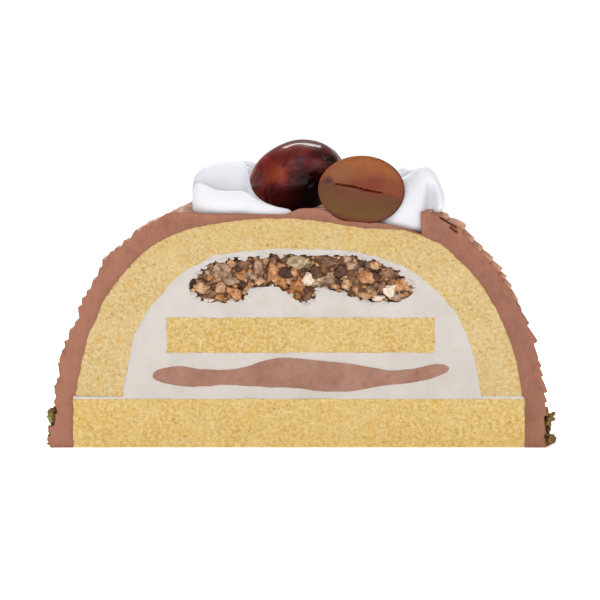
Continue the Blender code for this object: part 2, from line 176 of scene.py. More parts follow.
def fillOutline(outline, holes, spacing, seed, extra=()):
    # triangles all over a flat outline, with its own points kept along the edges
    points, edges = [], []
    for loop in [outline, *holes]:
        first = len(points)
        points += loop
        edges += [(first + i, first + (i + 1) % len(loop)) for i in range(len(loop))]
    points += extra
    near = treeOf(points)
    xs, zs = [p[0] for p in outline], [p[1] for p in outline]
    rowShare = 0.866  # height of an even triangle by its side
    rows = int((max(zs) - min(zs)) / (spacing * rowShare)) + 1
    columns = int((max(xs) - min(xs)) / spacing) + 1
    rng = np.random.default_rng(seed)
    row, column = np.meshgrid(np.arange(rows + 1), np.arange(columns + 1), indexing="ij")
    x = min(xs) + (column + 0.5 * (row % 2)) * spacing
    z = min(zs) + row * spacing * rowShare
    grid = np.stack([x.ravel(), z.ravel()], 1) + rng.uniform(-0.22, 0.22, (x.size, 2)) * spacing
    for x, z in grid[inLayer(grid, outline, holes)]:
        if near.find((x, z, 0.0))[2] > 0.5 * spacing:
            points.append((float(x), float(z)))
    made = delaunay_2d_cdt([Vector(p) for p in points], edges, [], 0, 1e-5)
    flat = [(v.x, v.y) for v in made[0]]
    corners = np.array([face for face in made[2] if len(face) == 3])
    triangles = corners[inLayer(np.array(flat)[corners].mean(1), outline, holes)].tolist()
    used = {edge: True for a, b, c in triangles for edge in ((a, b), (b, c), (c, a))}
    sides = [(a, b) for a, b in used if (b, a) not in used]
    return flat, triangles, sides


def makeObject(name, verts, faces, materials, sharpFrom=40.0, place=None):
    mesh = bpy.data.meshes.new(name)
    mesh.from_pydata([(x * mm, y * mm, z * mm) for x, y, z in verts], [], faces)
    for material in materials:
        mesh.materials.append(material)
    mesh.polygons.foreach_set("use_smooth", [True] * len(mesh.polygons))
    mesh.set_sharp_from_angle(angle=math.radians(sharpFrom))
    obj = bpy.data.objects.new(name, mesh)
    if place:
        obj.matrix_world = place
    bpy.context.scene.collection.objects.link(obj)
    return obj


def mark(obj, name, values):
    # one number for each corner point, which the material reads by name
    obj.data.attributes.new(name, "FLOAT", "POINT").data.foreach_set("value", values)


def serve(obj, slot, *nodes):
    # the piece belongs to the cake, and stands for these solids
    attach(obj, "root")
    if nodes:
        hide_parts(*nodes)
    return obj


def cutLayer(name, outline, holes, spacing, relief, material, seed):
    # a layer that runs through the cake and shows at both cut ends; relief is how far a spot is sunk
    flat, triangles, sides = fillOutline(outline, holes, spacing, seed)
    count = len(flat)
    verts = []
    for end in (-1.0, 1.0):
        for x, z in flat:
            verts.append((x, end * (cake["cutAt"] - relief(x, z, end)), z))
    faces = list(triangles)
    faces += [(c + count, b + count, a + count) for a, b, c in triangles]
    faces += [(b, a, a + count, b + count) for a, b in sides]
    return makeObject(name, verts, faces, [material])


# Materials. A colour is its red, green and blue out of 255.


def rgb(colour):
    values = [level / 255 for level in colour]
    return (*(v / 12.92 if v < 0.04 else ((v + 0.055) / 1.055) ** 2.4 for v in values), 1.0)


def newMaterial(name, roughness, soft=None, **sockets):
    # soft: how much light sinks in, how far by colour, and its reach in millimetres
    material = bpy.data.materials.new(name)
    material.use_nodes = True
    tree = material.node_tree
    shader = tree.nodes["Principled BSDF"]
    if soft:
        sockets.update(Subsurface_Weight=soft[0], Subsurface_Radius=soft[1], Subsurface_Scale=soft[2] * mm)
    for key, value in {"Roughness": roughness, **sockets}.items():
        shader.inputs[key.replace("_", " ")].default_value = value
    return material, tree, shader


def addNode(tree, kind, **settings):
    # a setting with a capital letter is a socket, any other is an option of the node
    node = tree.nodes.new(kind)
    for key, value in settings.items():
        if key[0].isupper():
            node.inputs[key].default_value = value
        else:
            setattr(node, key, value)
    return node


def mapTo(tree, node, stretch=(1, 1, 1), shift=(0, 0, 0)):
    # the node reads the place on the piece, stretched and shifted
    place = addNode(tree, "ShaderNodeTexCoord")
    mapping = addNode(tree, "ShaderNodeMapping", Scale=stretch, Location=shift)
    tree.links.new(place.outputs["Object"], mapping.inputs["Vector"])
    tree.links.new(mapping.outputs["Vector"], node.inputs[0])
    return node


def placeOn(tree, output="Object"):
    # the X, Y and Z of a place
    place = addNode(tree, "ShaderNodeTexCoord")
    parts = addNode(tree, "ShaderNodeSeparateXYZ")
    tree.links.new(place.outputs[output], parts.inputs[0])
    return parts.outputs


def spots(tree, size, detail=4.0, roughness=0.6, stretch=(1, 1, 1), kind="FBM", distortion=0.0):
    # cloudy noise whose patches are about size millimetres across
    cloud = addNode(
        tree, "ShaderNodeTexNoise", noise_type=kind, Scale=1000.0 / size, Detail=detail,
        Roughness=roughness, Distortion=distortion,
    )
    return mapTo(tree, cloud, stretch).outputs[0]


def cells(tree, size):
    made = addNode(tree, "ShaderNodeTexVoronoi", Scale=1000.0 / size)
    return mapTo(tree, made).outputs["Distance"]


def spread(tree, value, low, high, start=0.0, end=1.0):
    scaled = addNode(tree, "ShaderNodeMapRange")
    for i, number in enumerate((low, high, start, end)):
        scaled.inputs[i + 1].default_value = number
    tree.links.new(value, scaled.inputs[0])
    return scaled.outputs[0]


def colourSteps(tree, value, steps):
    ramp = addNode(tree, "ShaderNodeValToRGB")
    while len(ramp.color_ramp.elements) < len(steps):
        ramp.color_ramp.elements.new(0.5)
    for element, (position, colour) in zip(ramp.color_ramp.elements, steps):
        element.position = position
        element.color = rgb(colour)
    tree.links.new(value, ramp.inputs[0])
    return ramp.outputs[0]


def blendColours(tree, share, first, second):
    mixer = addNode(tree, "ShaderNodeMix", data_type="RGBA")
    for value, socket in ((share, 0), (first, 6), (second, 7)):
        if isinstance(value, tuple):
            mixer.inputs[socket].default_value = rgb(value)
        elif isinstance(value, float):
            mixer.inputs[socket].default_value = value
        else:
            tree.links.new(value, mixer.inputs[socket])
    return mixer.outputs[2]


def tinted(tree, colour, other, value, low, high, start=0.0, end=1.0):
    # the other colour's share goes from start to end while the value goes from low to high
    return blendColours(tree, spread(tree, value, low, high, start, end), colour, other)


def addUp(tree, first, second, share=1.0):
    total = addNode(tree, "ShaderNodeMath", operation="MULTIPLY_ADD")
    tree.links.new(second, total.inputs[0])
    total.inputs[1].default_value = share
    tree.links.new(first, total.inputs[2])
    return total.outputs[0]


def marked(tree, name):
    return addNode(tree, "ShaderNodeAttribute", attribute_name=name).outputs["Fac"]


def patch(tree, centre, reach, most, flat=1.0):
    # a soft spot on the piece, centre and reach in millimetres
    stretch = (1.0, 0.0, flat)
    away = addNode(tree, "ShaderNodeVectorMath", operation="LENGTH")
    mapTo(tree, away, stretch, [-c * s * mm for c, s in zip(centre, stretch)])
    cloud = spread(tree, spots(tree, 1.2 * reach), 0.0, 1.0, -0.35 * reach * mm, 0.35 * reach * mm)
    return spread(tree, addUp(tree, away.outputs["Value"], cloud), 0.25 * reach * mm, reach * mm, most, 0.0)


def dress(tree, shader, colour, height, depth):
    # the colour, and fine relief that is depth millimetres deep
    bump = addNode(tree, "ShaderNodeBump", Strength=1.0, Distance=depth * mm)
    tree.links.new(height, bump.inputs["Height"])
    tree.links.new(bump.outputs[0], shader.inputs["Normal"])
    tree.links.new(colour, shader.inputs["Base Color"])


spongeLook = {
    "pale": (212, 190, 138),
    "crumb": (197, 165, 98),
    "toasted": (183, 136, 58),
    "golden": (204, 162, 66),
    "pore": (152, 108, 54),
    "poreSize": 0.62,
    "poreDepth": 0.36,
    "holeSize": 2.6,
    "holeDepth": 0.55,
    "spacing": 0.34,
}


def spongeMaterial(name, tint, share):
    look = spongeLook
    material, tree, shader = newMaterial(name, 0.85, (0.12, (1.0, 0.65, 0.3), 1.0))
    steps = [(0.36, look["toasted"]), (0.48, look["crumb"]), (0.6, look["pale"])]
    crumb = colourSteps(tree, spots(tree, 0.9, 6.0, 0.72), steps)
    crumb = tinted(tree, crumb, look["pale"], spots(tree, 8.0, 3.0), 0.4, 0.65, 0.0, 0.4)
    crumb = blendColours(tree, share, crumb, tint)
    # browner near the top of the arch
    crumb = tinted(tree, crumb, look["crumb"], placeOn(tree)["Z"], 40 * mm, 52 * mm, 0.0, 0.3)
    crumb = tinted(tree, crumb, look["golden"], spots(tree, 2.6, 3.0, 0.5), 0.57, 0.68, 0.0, 0.45)
    crumb = tinted(tree, crumb, look["pore"], cells(tree, 0.7), 0.08, 0.34, 0.55, 0.0)
    crumb = tinted(tree, crumb, look["pore"], cells(tree, 2.1), 0.05, 0.12, 0.6, 0.0)
    dress(tree, shader, crumb, addUp(tree, spots(tree, 0.45, 4.0, 0.7), cells(tree, 0.5), 0.6), 0.16)
    return material


def creamMaterial():
    material, tree, shader = newMaterial("fillingCream", 0.55, (0.15, (1.0, 0.9, 0.8), 1.5))
    steps = [(0.3, (188, 180, 173)), (0.55, (195, 188, 182)), (0.75, (197, 189, 180))]
    grain = addUp(tree, spots(tree, 2.5, 5.0), spots(tree, 0.6, 3.0), 0.4)
    dress(tree, shader, colourSteps(tree, spots(tree, 7.0, 5.0), steps), grain, 0.12)
    return material


def chestnutCreamMaterial(name, shades, grain, streak=(1, 1, 1), ridges=None):
    # three shades from dark to light
    material, tree, shader = newMaterial(name, 0.62, (0.08, (1.0, 0.75, 0.6), 1.0))
    fine = spots(tree, grain, 5.0, 0.7, streak)
    cloud = addUp(tree, spots(tree, 6.0, 4.0, 0.6, streak), fine, 0.6)
    colour = colourSteps(tree, cloud, [*zip((0.55, 0.8, 1.05), shades)])
    colour = tinted(tree, colour, shades[0], cells(tree, 1.3), 0.03, 0.14, 0.5, 0.0)
    if ridges:
        # painted highlight, paler along the crests, and painted shade, darker in the grooves
        height = addUp(tree, marked(tree, ridges), fine, 0.3)
        colour = tinted(tree, colour, (210, 164, 136), height, 0.75, 1.15, 0.0, 0.5)
        colour = tinted(tree, colour, shades[0], height, 0.1, 0.45, 0.4, 0.0)
    dress(tree, shader, colour, addUp(tree, fine, spots(tree, 0.35, 3.0), 0.5), 0.1)
    return material


def cutCoatMaterial():
    material, tree, shader = newMaterial("cutChestnutCream", 0.65, (0.08, (1.0, 0.75, 0.6), 1.0))
    fine = spots(tree, 1.1, 5.0, 0.72, (1.0, 1.0, 0.45))
    steps = [(0.6, (126, 76, 59)), (0.78, (142, 91, 70)), (0.98, (151, 100, 78))]
    colour = colourSteps(tree, addUp(tree, spots(tree, 5.0), fine, 0.6), steps)
    # paler at the left, darker at the right
    across = placeOn(tree)["X"]
    colour = tinted(tree, colour, (165, 110, 85), across, -45 * mm, -10 * mm, 0.25, 0.0)
    colour = tinted(tree, colour, (131, 80, 64), across, 10 * mm, 45 * mm, 0.0, 0.3)
    # warmer along the skin; painted shade, darker and browner along the sponge
    ragged = spread(tree, spots(tree, 1.8, 4.0, 0.65), 0.3, 0.7, -0.7, 0.7)
    skin = addUp(tree, marked(tree, "fromSkin"), ragged)
    colour = tinted(tree, colour, (166, 104, 72), skin, 0.0, 1.6, 0.4, 0.0)
    # painted shade: a darker band where the coat meets the sponge
    spongeShade = addUp(tree, marked(tree, "fromSponge"), ragged, 0.6)
    colour = tinted(tree, colour, (131, 79, 49), spongeShade, 0.0, 1.5, 0.5, 0.0)
    colour = tinted(tree, colour, (104, 59, 43), cells(tree, 1.1), 0.04, 0.16, 0.55, 0.0)
    dress(tree, shader, colour, addUp(tree, fine, spots(tree, 0.35, 3.0), 0.5), 0.12)
    return material


# The line where two layers meet is made once and used by both, so that no gap opens between them.
archFoot = cake["baseTop"] + cake["creamLine"]
archOuterLine = bulge(roundLine(cake["archOutside"], archFoot, 200), cake["outsideBulge"])
archOuterLine = wobble(splitEvenly(archOuterLine, 0.35, False), 0.16, 3.0, 1.0)
archOuterLine = wobble(archOuterLine, 0.1, 0.8, 9.0)
archInnerLine = bulge(roundLine(cake["archInside"], archFoot, 170), cake["insideBulge"])
archInnerLine = wobble(splitEvenly(archInnerLine, 0.35, False), 0.26, 1.6, 2.0)
archInnerLine = wobble(archInnerLine, 0.12, 0.7, 7.0)


# Sponge: the base, the bent sheet and the strip


def spongeRelief(x, z, end):
    look = spongeLook
    seed = 40.0 * end
    size = look["poreSize"]
    pore = pit(x / size / 1.6, z / size / 1.6, seed, 0.42, look["poreDepth"])
    size = look["holeSize"]
    hole = pit(x / size, z / size * 1.3, seed + 9.0, 0.2, look["holeDepth"])
    rough = 0.1 * noise.fractal(Vector((x / 1.4, z / 1.4, seed + 3.0)), 1.0, 2.0, 3)
    sway = 0.14 * ripple(x / 9.0, z / 9.0, seed + 7.0)
    return max(0.0, 0.16 + pore + hole + rough + sway)


def makeSponge():
    spacing = spongeLook["spacing"]
    warm = spongeMaterial("baseSponge", (232, 200, 118), 0.22)
    soft = spongeMaterial("archSponge", (196, 178, 140), 0.3)
    middle = spongeMaterial("stripSponge", (210, 176, 98), 0.1)
    left, right, top = cake["baseLeft"], cake["baseRight"], cake["baseTop"]
    base = [(left + 0.5, 0.0), (right - 0.5, 0.0), (right, 0.5), (right, top), (left, top), (left, 0.5)]
    base = splitEvenly(base, spacing)
    base = [p if p[1] < 0.6 else q for p, q in zip(base, wobble(base, 0.14, 2.0, 4.0))]
    serve(cutLayer("spongeBase", base, [], spacing, spongeRelief, warm, 1), "sponge", "base_sponge")

    feet = [splitEvenly([archInnerLine[end], archOuterLine[end]], spacing, False)[1:-1] for end in (0, -1)]
    arch = archOuterLine + feet[1][::-1] + archInnerLine[::-1] + feet[0]
    serve(cutLayer("spongeSheet", arch, [], spacing, spongeRelief, soft, 2), "sponge", "sponge_arch")
    serve(cutLayer("spongeMiddle", stripLine, [], spacing, spongeRelief, middle, 3), "sponge", "sponge_strip")
    print("sponge baked")


strip = {"halfWidth": 31.9, "low": 22.8, "high": 31.2}
stripLine = [
    (-strip["halfWidth"], strip["low"]), (strip["halfWidth"], strip["low"]),
    (strip["halfWidth"], strip["high"]), (-strip["halfWidth"], strip["high"]),
]
stripLine = wobble(splitEvenly(stripLine, spongeLook["spacing"]), 0.3, 2.2, 6.0)


# The filling, with the band of chestnut cream and room for the chopped chestnuts

band = {"halfWidth": 35.3, "middle": 16.8}
heap = {
    "from": -26.9,
    "to": 27.4,
    "top": [
        (-26.9, 39.0), (-24.8, 41.8), (-21.2, 44.7), (-16.4, 45.5), (-10.2, 45.7), (-6.6, 46.5),
        (-0.8, 46.3), (4.3, 46.1), (10.2, 46.5), (13.4, 45.9), (18.9, 44.7), (23.3, 42.5), (26.2, 39.9),
        (27.4, 38.7),
    ],
    "bottom": [
        (-26.9, 38.9), (-26.3, 37.2), (-24.8, 35.4), (-21.2, 34.7), (-14.2, 34.9), (-12.0, 37.9),
        (-8.0, 38.8), (-5.1, 38.4), (-3.0, 36.7), (-0.4, 35.0), (2.5, 34.4), (3.6, 36.6), (4.6, 38.3),
        (8.0, 37.6), (11.3, 36.5), (14.5, 34.9), (20.0, 34.8), (24.0, 35.2), (26.4, 37.0), (27.4, 38.6),
    ],
}


def bandLine(count=90):
    upper, lower = [], []
    reach = band["halfWidth"]
    for i in range(count + 1):
        x = -reach * math.cos(math.pi * i / count)
        middle = band["middle"] + hump(x, -4.0, 9.0, 1.2) + hump(x, -32.0, 5.0, 0.6) + hump(x, 36.0, 7.5, 2.2)
        half = 1.65 + hump(x, 2.0, 15.0, 1.95, 4) + hump(x, -28.0, 6.5, 0.75)
        half *= max(0.0, 1.0 - (abs(x) / reach) ** 16) ** 0.5
        upper.append((x, middle + half))
        lower.append((x, middle - half))
    return wobble(lower + upper[-2:0:-1], 0.22, 3.5, 8.0)


def heapHeights(x):
    return [float(np.interp(x, *zip(*heap[side]))) for side in ("bottom", "top")]


def heapLine():
    line = splitEvenly(heap["bottom"] + heap["top"][::-1], 0.5)
    return wobble(line, 0.55, 1.5, 3.0)


def creamRelief(x, z, end):
    sway = 0.16 * ripple(x / 7.0, z / 7.0, 3.0 * end)
    drag = 0.07 * ripple(x / 5.0, z / 1.1, 8.0 * end)
    return max(0.0, 0.2 + sway + drag)


def bandRelief(x, z, end):
    sway = 0.12 * ripple(x / 5.0, z / 3.0, 5.0 * end)
    return max(0.0, 0.14 + sway + pit(x / 1.1, z / 1.1, 2.0 * end, 0.16, 0.25))


def makeFilling():
    low, high = cake["baseTop"], archFoot
    leftEnd, rightEnd = cake["baseLeft"] + 0.1, cake["baseRight"] - 0.1
    right = splitEvenly([(rightEnd, low), (rightEnd, high), archInnerLine[0]], 0.6, False)[:-1]
    left = splitEvenly([archInnerLine[-1], (leftEnd, high), (leftEnd, low)], 0.6, False)[1:]
    under = splitEvenly([(leftEnd, low), (rightEnd, low)], 0.6, False)[1:-1]
    outline = right + archInnerLine + left + under
    hollows = [stripLine, bandLine(), heapLine()]
    cream = creamMaterial()
    serve(cutLayer("creamFilling", outline, hollows, 0.62, creamRelief, cream, 5), "cream", "filling_cream")
    brown = chestnutCreamMaterial("bandCream", [(134, 90, 72), (150, 107, 89), (159, 119, 100)], 1.4)
    made = cutLayer("chestnutBand", bandLine(), [], 0.45, bandRelief, brown, 6)
    serve(made, "chestnut_cream", "chestnut_cream_band")
    print("filling poured")


# The coat of chestnut cream, combed into ridges along the cake

coat = {
    # rim: how far out the flank ends. ridge, from its lower edge up: share of the width, share of the
    # height, how ragged. swells: height of the middle, half width, how far out, power of the curve
    "left": {
        "tooth": 2.75, "depth": 1.05, "uneven": 0.28, "rim": 28.2,
        "ridge": [
            (0.0, 0.02, 0.2), (0.1, 0.12, 0.4), (0.3, 0.34, 0.5), (0.55, 0.62, 0.5), (0.8, 0.88, 0.7),
            (0.95, 1.0, 1.3), (1.0, 0.92, 1.3),
        ],
        "swells": [
            (31.0, 2.4, -0.9), (44.4, 2.0, 0.9), (20.8, 1.3, 0.7), (1.5, 3.5, 1.0, 4), (8.4, 2.4, -0.6, 4),
        ],
    },
    "right": {
        "tooth": 3.3, "depth": 0.75, "uneven": 0.35, "rim": 29.1,
        "ridge": [
            (0.0, 0.9, 1.3), (0.05, 1.0, 1.3), (0.22, 0.88, 0.7), (0.45, 0.64, 0.5), (0.7, 0.36, 0.5),
            (0.9, 0.12, 0.4), (1.0, 0.02, 0.2),
        ],
        "swells": [(52.6, 2.2, 0.8), (0.0, 9.0, -0.65, 6)],
    },
    "step": 0.45,
    "floor": 55.8,
    "every": 1.0,  # between two stations along the cake
    "shoulder": (46.0, 13.0),  # the right shoulder of the front cut: height, half width
    "proud": 0.75,  # how far it stands out
    "dragged": 1.3,  # how far the knife has drawn in its edge
    # gaps left between piped strands in the front cut: from, to, half width, depth
    "gaps": [((33.2, 54.9), (36.8, 52.8), 0.14, 1.4), ((35.6, 52.7), (37.0, 51.6), 0.27, 1.0)],
}


def flankPath(side):
    rim = coat[side]["rim"]
    top = roundHeight(cake["coat"], rim)
    sign = 1.0 if side == "right" else -1.0
    shares = np.sin(np.pi / 2 * np.arange(181) / 180)
    z = top * shares
    x = np.array([roundHalfWidth(cake["coat"], height) for height in z])
    arc = np.concatenate([[0.0], np.cumsum(np.hypot(np.diff(x), np.diff(z)))])
    dx, dz = np.gradient(x), np.gradient(z)
    length = np.hypot(dx, dz)
    return {"arc": arc, "x": sign * x, "z": z, "nx": sign * dz / length, "nz": -dx / length}


def toothArcs(side, length, rng):
    look = coat[side]
    arcs, depths, arc = [0.0], [], 0.0
    while arc < length - 1.6 * look["tooth"]:
        arc += look["tooth"] * (1.0 + look["uneven"] * rng.uniform(-1.0, 1.0))
        arcs.append(arc)
        depths.append(look["depth"] * rng.uniform(0.65, 1.2))
    arcs.append(length)
    depths.append(look["depth"] * 0.6)
    return arcs, depths


def wander(y, row, size, reach=17.0):
    return size * ripple(y / reach, row * 7.3, 2.1)


def troughHeight(x, y):
    thin = roundHeight(cake["archOutside"], x) + 0.7
    height = coat["floor"] + (thin - coat["floor"]) * smooth(5.0, 10.0, x) + hump(x, -29.0, 5.0, 0.4)
    near = hump(y, front, 5.0, 1.0)
    height += hump(x, 2.2, 4.4, 1.45, 4) * near
    under = chestnuts["half"]
    across = (x - under["place"][0]) / under["radii"][0]
    if abs(across) < 0.98 and y < front + under["radii"][1]:
        height = min(height, under["place"][2] - under["radii"][2] * math.sqrt(1.0 - across * across) + 0.1)
    return max(height, thin - 0.45)


def flankRing(side, path, teeth, y):
    arcs, depths = teeth
    shift = 0.0 if side == "left" else 50.0
    back = y - front
    where, outs, lifts = [0.0], [0.0], [0.0]
    for k, depth in enumerate(depths):
        low = arcs[k] + (wander(y, k + shift, 0.5) if k else 0.0)
        high = arcs[k + 1] + (wander(y, k + 1 + shift, 0.5) if k + 1 < len(depths) else 0.0)
        proud = depth * (1.0 + wander(y, k + shift + 100, 0.6)) + wander(y, shift, 0.3, 30.0)
        proud *= 1.0 + 0.35 * wander(y, k + shift + 150, 1.0, 4.0)
        start = low + 0.18 * (k > 0)
        for share, height, ragged in coat[side]["ridge"]:
            arc = start + (high - start) * share
            tear = ripple(arc / 0.8, y / 1.3, k * 3.1 + shift)
            strand = ripple(arc / 0.45, y / 14.0, k * 5.7 + shift)
            where.append(arc + 0.12 * ragged * tear * (0.0 < share < 1.0))
            outs.append(0.06 + height * (proud - 0.06) + 0.09 * ragged * tear + 0.1 * strand)
            lifts.append(height)
    where, outs = np.array(where), np.array(outs)
    z = np.interp(where, path["arc"], path["z"])
    if side == "left":
        calm = np.clip((z - 51.0) / 4.5, 0.0, 1.0)
        outs = outs * (1.0 - 0.65 * calm) - 0.4 * calm
    else:
        shoulder = hump(z, *coat["shoulder"], 1.0, 4)
        drawnIn = hump(back, 0.0, 1.5, coat["dragged"])
        outs = outs + shoulder * (hump(back, 0.0, 14.0, coat["proud"]) - drawnIn)
        outs = outs - hump(where, arcs[-1], 1.6, 1.1)
    outs = outs + sum(hump(z, *swell) for swell in coat[side]["swells"])
    x, z, nx, nz = (np.interp(where, path["arc"], path[key]) for key in ("x", "z", "nx", "nz"))
    highest = leftRimHeight(back) if side == "left" else math.inf
    return list(zip(x + nx * outs, np.clip(z + nz * outs, 0.0, highest), lifts))


def leftRimHeight(back):
    return 56.3 + 1.6 * smooth(0.3, 6.0, back)


def coatRing(y, paths, teeth):
    rights = flankRing("right", paths["right"], teeth["right"], y)
    lefts = flankRing("left", paths["left"], teeth["left"], y)
    floor, count = [], 64
    start, end = coat["right"]["rim"] - 0.4, 0.6 - coat["left"]["rim"]
    rim = leftRimHeight(y - front)
    for i in range(count + 1):
        x = start + (end - start) * i / count
        height = min(troughHeight(x, y), roundHeight(cake["coat"], abs(x)))
        height += (rim - height) * smooth(23.5, 28.0, -x)
        rough = 0.12 * ripple(x / 1.6, y / 2.6, 4.0) + 0.1 * ripple(x / 5.0, y / 9.0, 9.0)
        floor.append((x, height + rough * smooth(0.0, 1.0, (y - front) / 2.0), 0.45))
    return rights, floor, lefts


def coatStations():
    edge = [0.0, 0.35, 0.8, 1.4, 2.2]
    steps = int((cakeLength - 2 * edge[-1]) / coat["every"])
    inner = np.linspace(edge[-1], cakeLength - edge[-1], steps + 1)
    backs = [*edge[:-1], *inner, *(cakeLength - s for s in edge[-2::-1])]
    return [front + back for back in backs]


def gapPoints():
    points = []
    for (x, z), (xEnd, zEnd), half, _ in coat["gaps"]:
        length = math.hypot(xEnd - x, zEnd - z)
        acrossX, acrossZ = (zEnd - z) / length, (x - xEnd) / length
        for i in range(round(length / 0.2) + 1):
            share = i * 0.2 / length
            along = (x + (xEnd - x) * share, z + (zEnd - z) * share)
            for side in (-1.6 * half, 0.0, 1.6 * half):
                points.append((along[0] + side * acrossX, along[1] + side * acrossZ))
    return points


def gapDepth(x, z):
    deepest = 0.0
    for start, end, half, depth in coat["gaps"]:
        along = Vector(end) - Vector(start)
        share = min(1.0, max(0.0, (Vector((x, z)) - Vector(start)).dot(along) / along.length_squared))
        away = (Vector((x, z)) - Vector(start) - along * share).length
        narrow = half * (0.5 + 0.5 * math.sin(math.pi * min(0.85, max(0.15, share))))
        deepest = max(deepest, hump(away, 0.0, narrow, depth))
    return deepest


def coatFaceRelief(x, z, end):
    sway = 0.14 * ripple(x / 6.0, z / 6.0, 4.0 * end)
    drag = 0.08 * ripple(x / 0.9, z / 5.0, 6.0 * end)
    rough = max(0.0, 0.16 + sway + drag + pit(x / 1.5, z / 1.5, 7.0 * end, 0.14, 0.35))
    return rough + (gapDepth(x, z) if end < 0.0 else 0.0)


def makeCoat():
    rng = random.Random(11)
    paths = {side: flankPath(side) for side in ("right", "left")}
    teeth = {side: toothArcs(side, paths[side]["arc"][-1], rng) for side in ("right", "left")}
    right, left = cake["baseRight"], cake["baseLeft"]
    verts, faces, rings, lifts = [], [], [], []
    stations = coatStations()
    for y in stations:
        rights, floor, lefts = coatRing(y, paths, teeth)
        outer = rights + floor + lefts[::-1]
        rings.append([(x, z) for x, z, lift in outer])
        foot, otherFoot = outer[0][0], outer[-1][0]
        under = [(right + (foot - right) * i / 3, 0.0, 0.0) for i in range(3)]
        underLeft = [(otherFoot + (left - otherFoot) * i / 3, 0.0, 0.0) for i in range(1, 4)]
        verts += [(x, y, z) for x, z, lift in under + outer + underLeft]
        lifts += [lift for x, z, lift in under + outer + underLeft]
    width = len(verts) // len(stations)
    for j in range(len(stations) - 1):
        for i in range(width - 1):
            a = j * width + i
            faces.append((a, a + 1, a + 1 + width, a + width))
    outside = chestnutCreamMaterial(
        "combedCream", [(134, 86, 64), (161, 110, 84), (180, 130, 102)], 0.9, (1.0, 0.22, 1.0), "ridgeHeight"
    )
    combed = makeObject("chestnutCoat", verts, faces, [outside], 60.0)
    mark(combed, "ridgeHeight", lifts)
    serve(combed, "chestnut_cream", "outer_cream")

    inner = splitEvenly([(right, 0.0), (right, cake["baseTop"]), archOuterLine[0]], coat["step"], False)[:-1]
    inner += archOuterLine
    inner += splitEvenly([archOuterLine[-1], (left, cake["baseTop"]), (left, 0.0)], coat["step"], False)[1:]
    verts, faces, fromSkin, fromSponge = [], [], [], []
    for end, ring, seed in ((-1.0, rings[0], 7), (1.0, rings[-1], 8)):
        extra = gapPoints() if end < 0.0 else []
        flat, triangles, _ = fillOutline(cleanLoop(ring + inner[::-1]), [], 0.36, seed, extra)
        first = len(verts)
        fromSkin += awayFrom(flat, splitEvenly(ring, 0.2, False))
        fromSponge += awayFrom(flat, inner)
        verts += [(x, end * (cake["cutAt"] - coatFaceRelief(x, z, end)), z) for x, z in flat]
        for a, b, c in triangles:
            faces.append((a + first, b + first, c + first) if end < 0 else (c + first, b + first, a + first))
    obj = makeObject("chestnutCoatCut", verts, faces, [cutCoatMaterial()])
    mark(obj, "fromSkin", fromSkin)
    mark(obj, "fromSponge", fromSponge)
    serve(obj, "chestnut_cream")
    print("coat combed")


def awayFrom(points, line):
    # how far each point is from a line of closely set points
    near = treeOf(line)
    return [near.find((x, z, 0.0))[2] for x, z in points]


def cleanLoop(loop):
    kept = [loop[0]]
    for point in loop[1:]:
        if math.dist(point, kept[-1]) > 0.02:
            kept.append(point)
    return kept


# Small chips: chopped chestnut and pistachio


def chip(rng, radius, place, rounds, stretch, facets, rough):
    # an uneven broken piece: a ball with flat breaks and a grainy skin
    bm = bmesh.new()
    bmesh.ops.create_icosphere(bm, subdivisions=rounds, radius=1.0)
    breaks = [Vector([rng.gauss(0, 1) for _ in range(3)]).normalized() for _ in range(11)]
    cuts = [rng.uniform(facets, 1.0) for _ in breaks]
    turn = Euler([rng.uniform(0.0, math.tau) for _ in range(3)]).to_matrix()
    seed = Vector([rng.uniform(-50, 50) for _ in range(3)])
    for vert in bm.verts:
        co = vert.co.copy()
        for normal, cut in zip(breaks, cuts):
            over = co.dot(normal) - cut
            if over > 0.0:
                co -= normal * over
        co *= 1.0 + rough * noise.noise(co * 2.6 + seed) + 0.6 * rough * noise.noise(co * 6.5 - seed)
        co = turn @ co
        vert.co = Vector((co.x * stretch[0], co.y * stretch[1], co.z * stretch[2])) * radius + Vector(place)
    bm.verts.index_update()
    verts = [tuple(v.co) for v in bm.verts]
    faces = [tuple(v.index for v in f.verts) for f in bm.faces]
    bm.free()
    return verts, faces


def pile(pieces):
    verts, faces = [], []
    for pieceVerts, pieceFaces in pieces:
        first = len(verts)
        verts += pieceVerts
        faces += [tuple(i + first for i in face) for face in pieceFaces]
    return verts, faces


def crumbMaterial(name, shades, roughness, grain, shine=0.0):
    material, tree, shader = newMaterial(
        name, roughness, (0.1, (1.0, 0.7, 0.4), 0.8), Coat_Weight=shine, Coat_Roughness=0.2
    )
    colour = colourSteps(tree, spots(tree, grain * 2.2, 6.0, 0.75), [*zip((0.38, 0.5, 0.62), shades)])
    dress(tree, shader, colour, spots(tree, grain, 5.0, 0.7), 0.22)
    return material


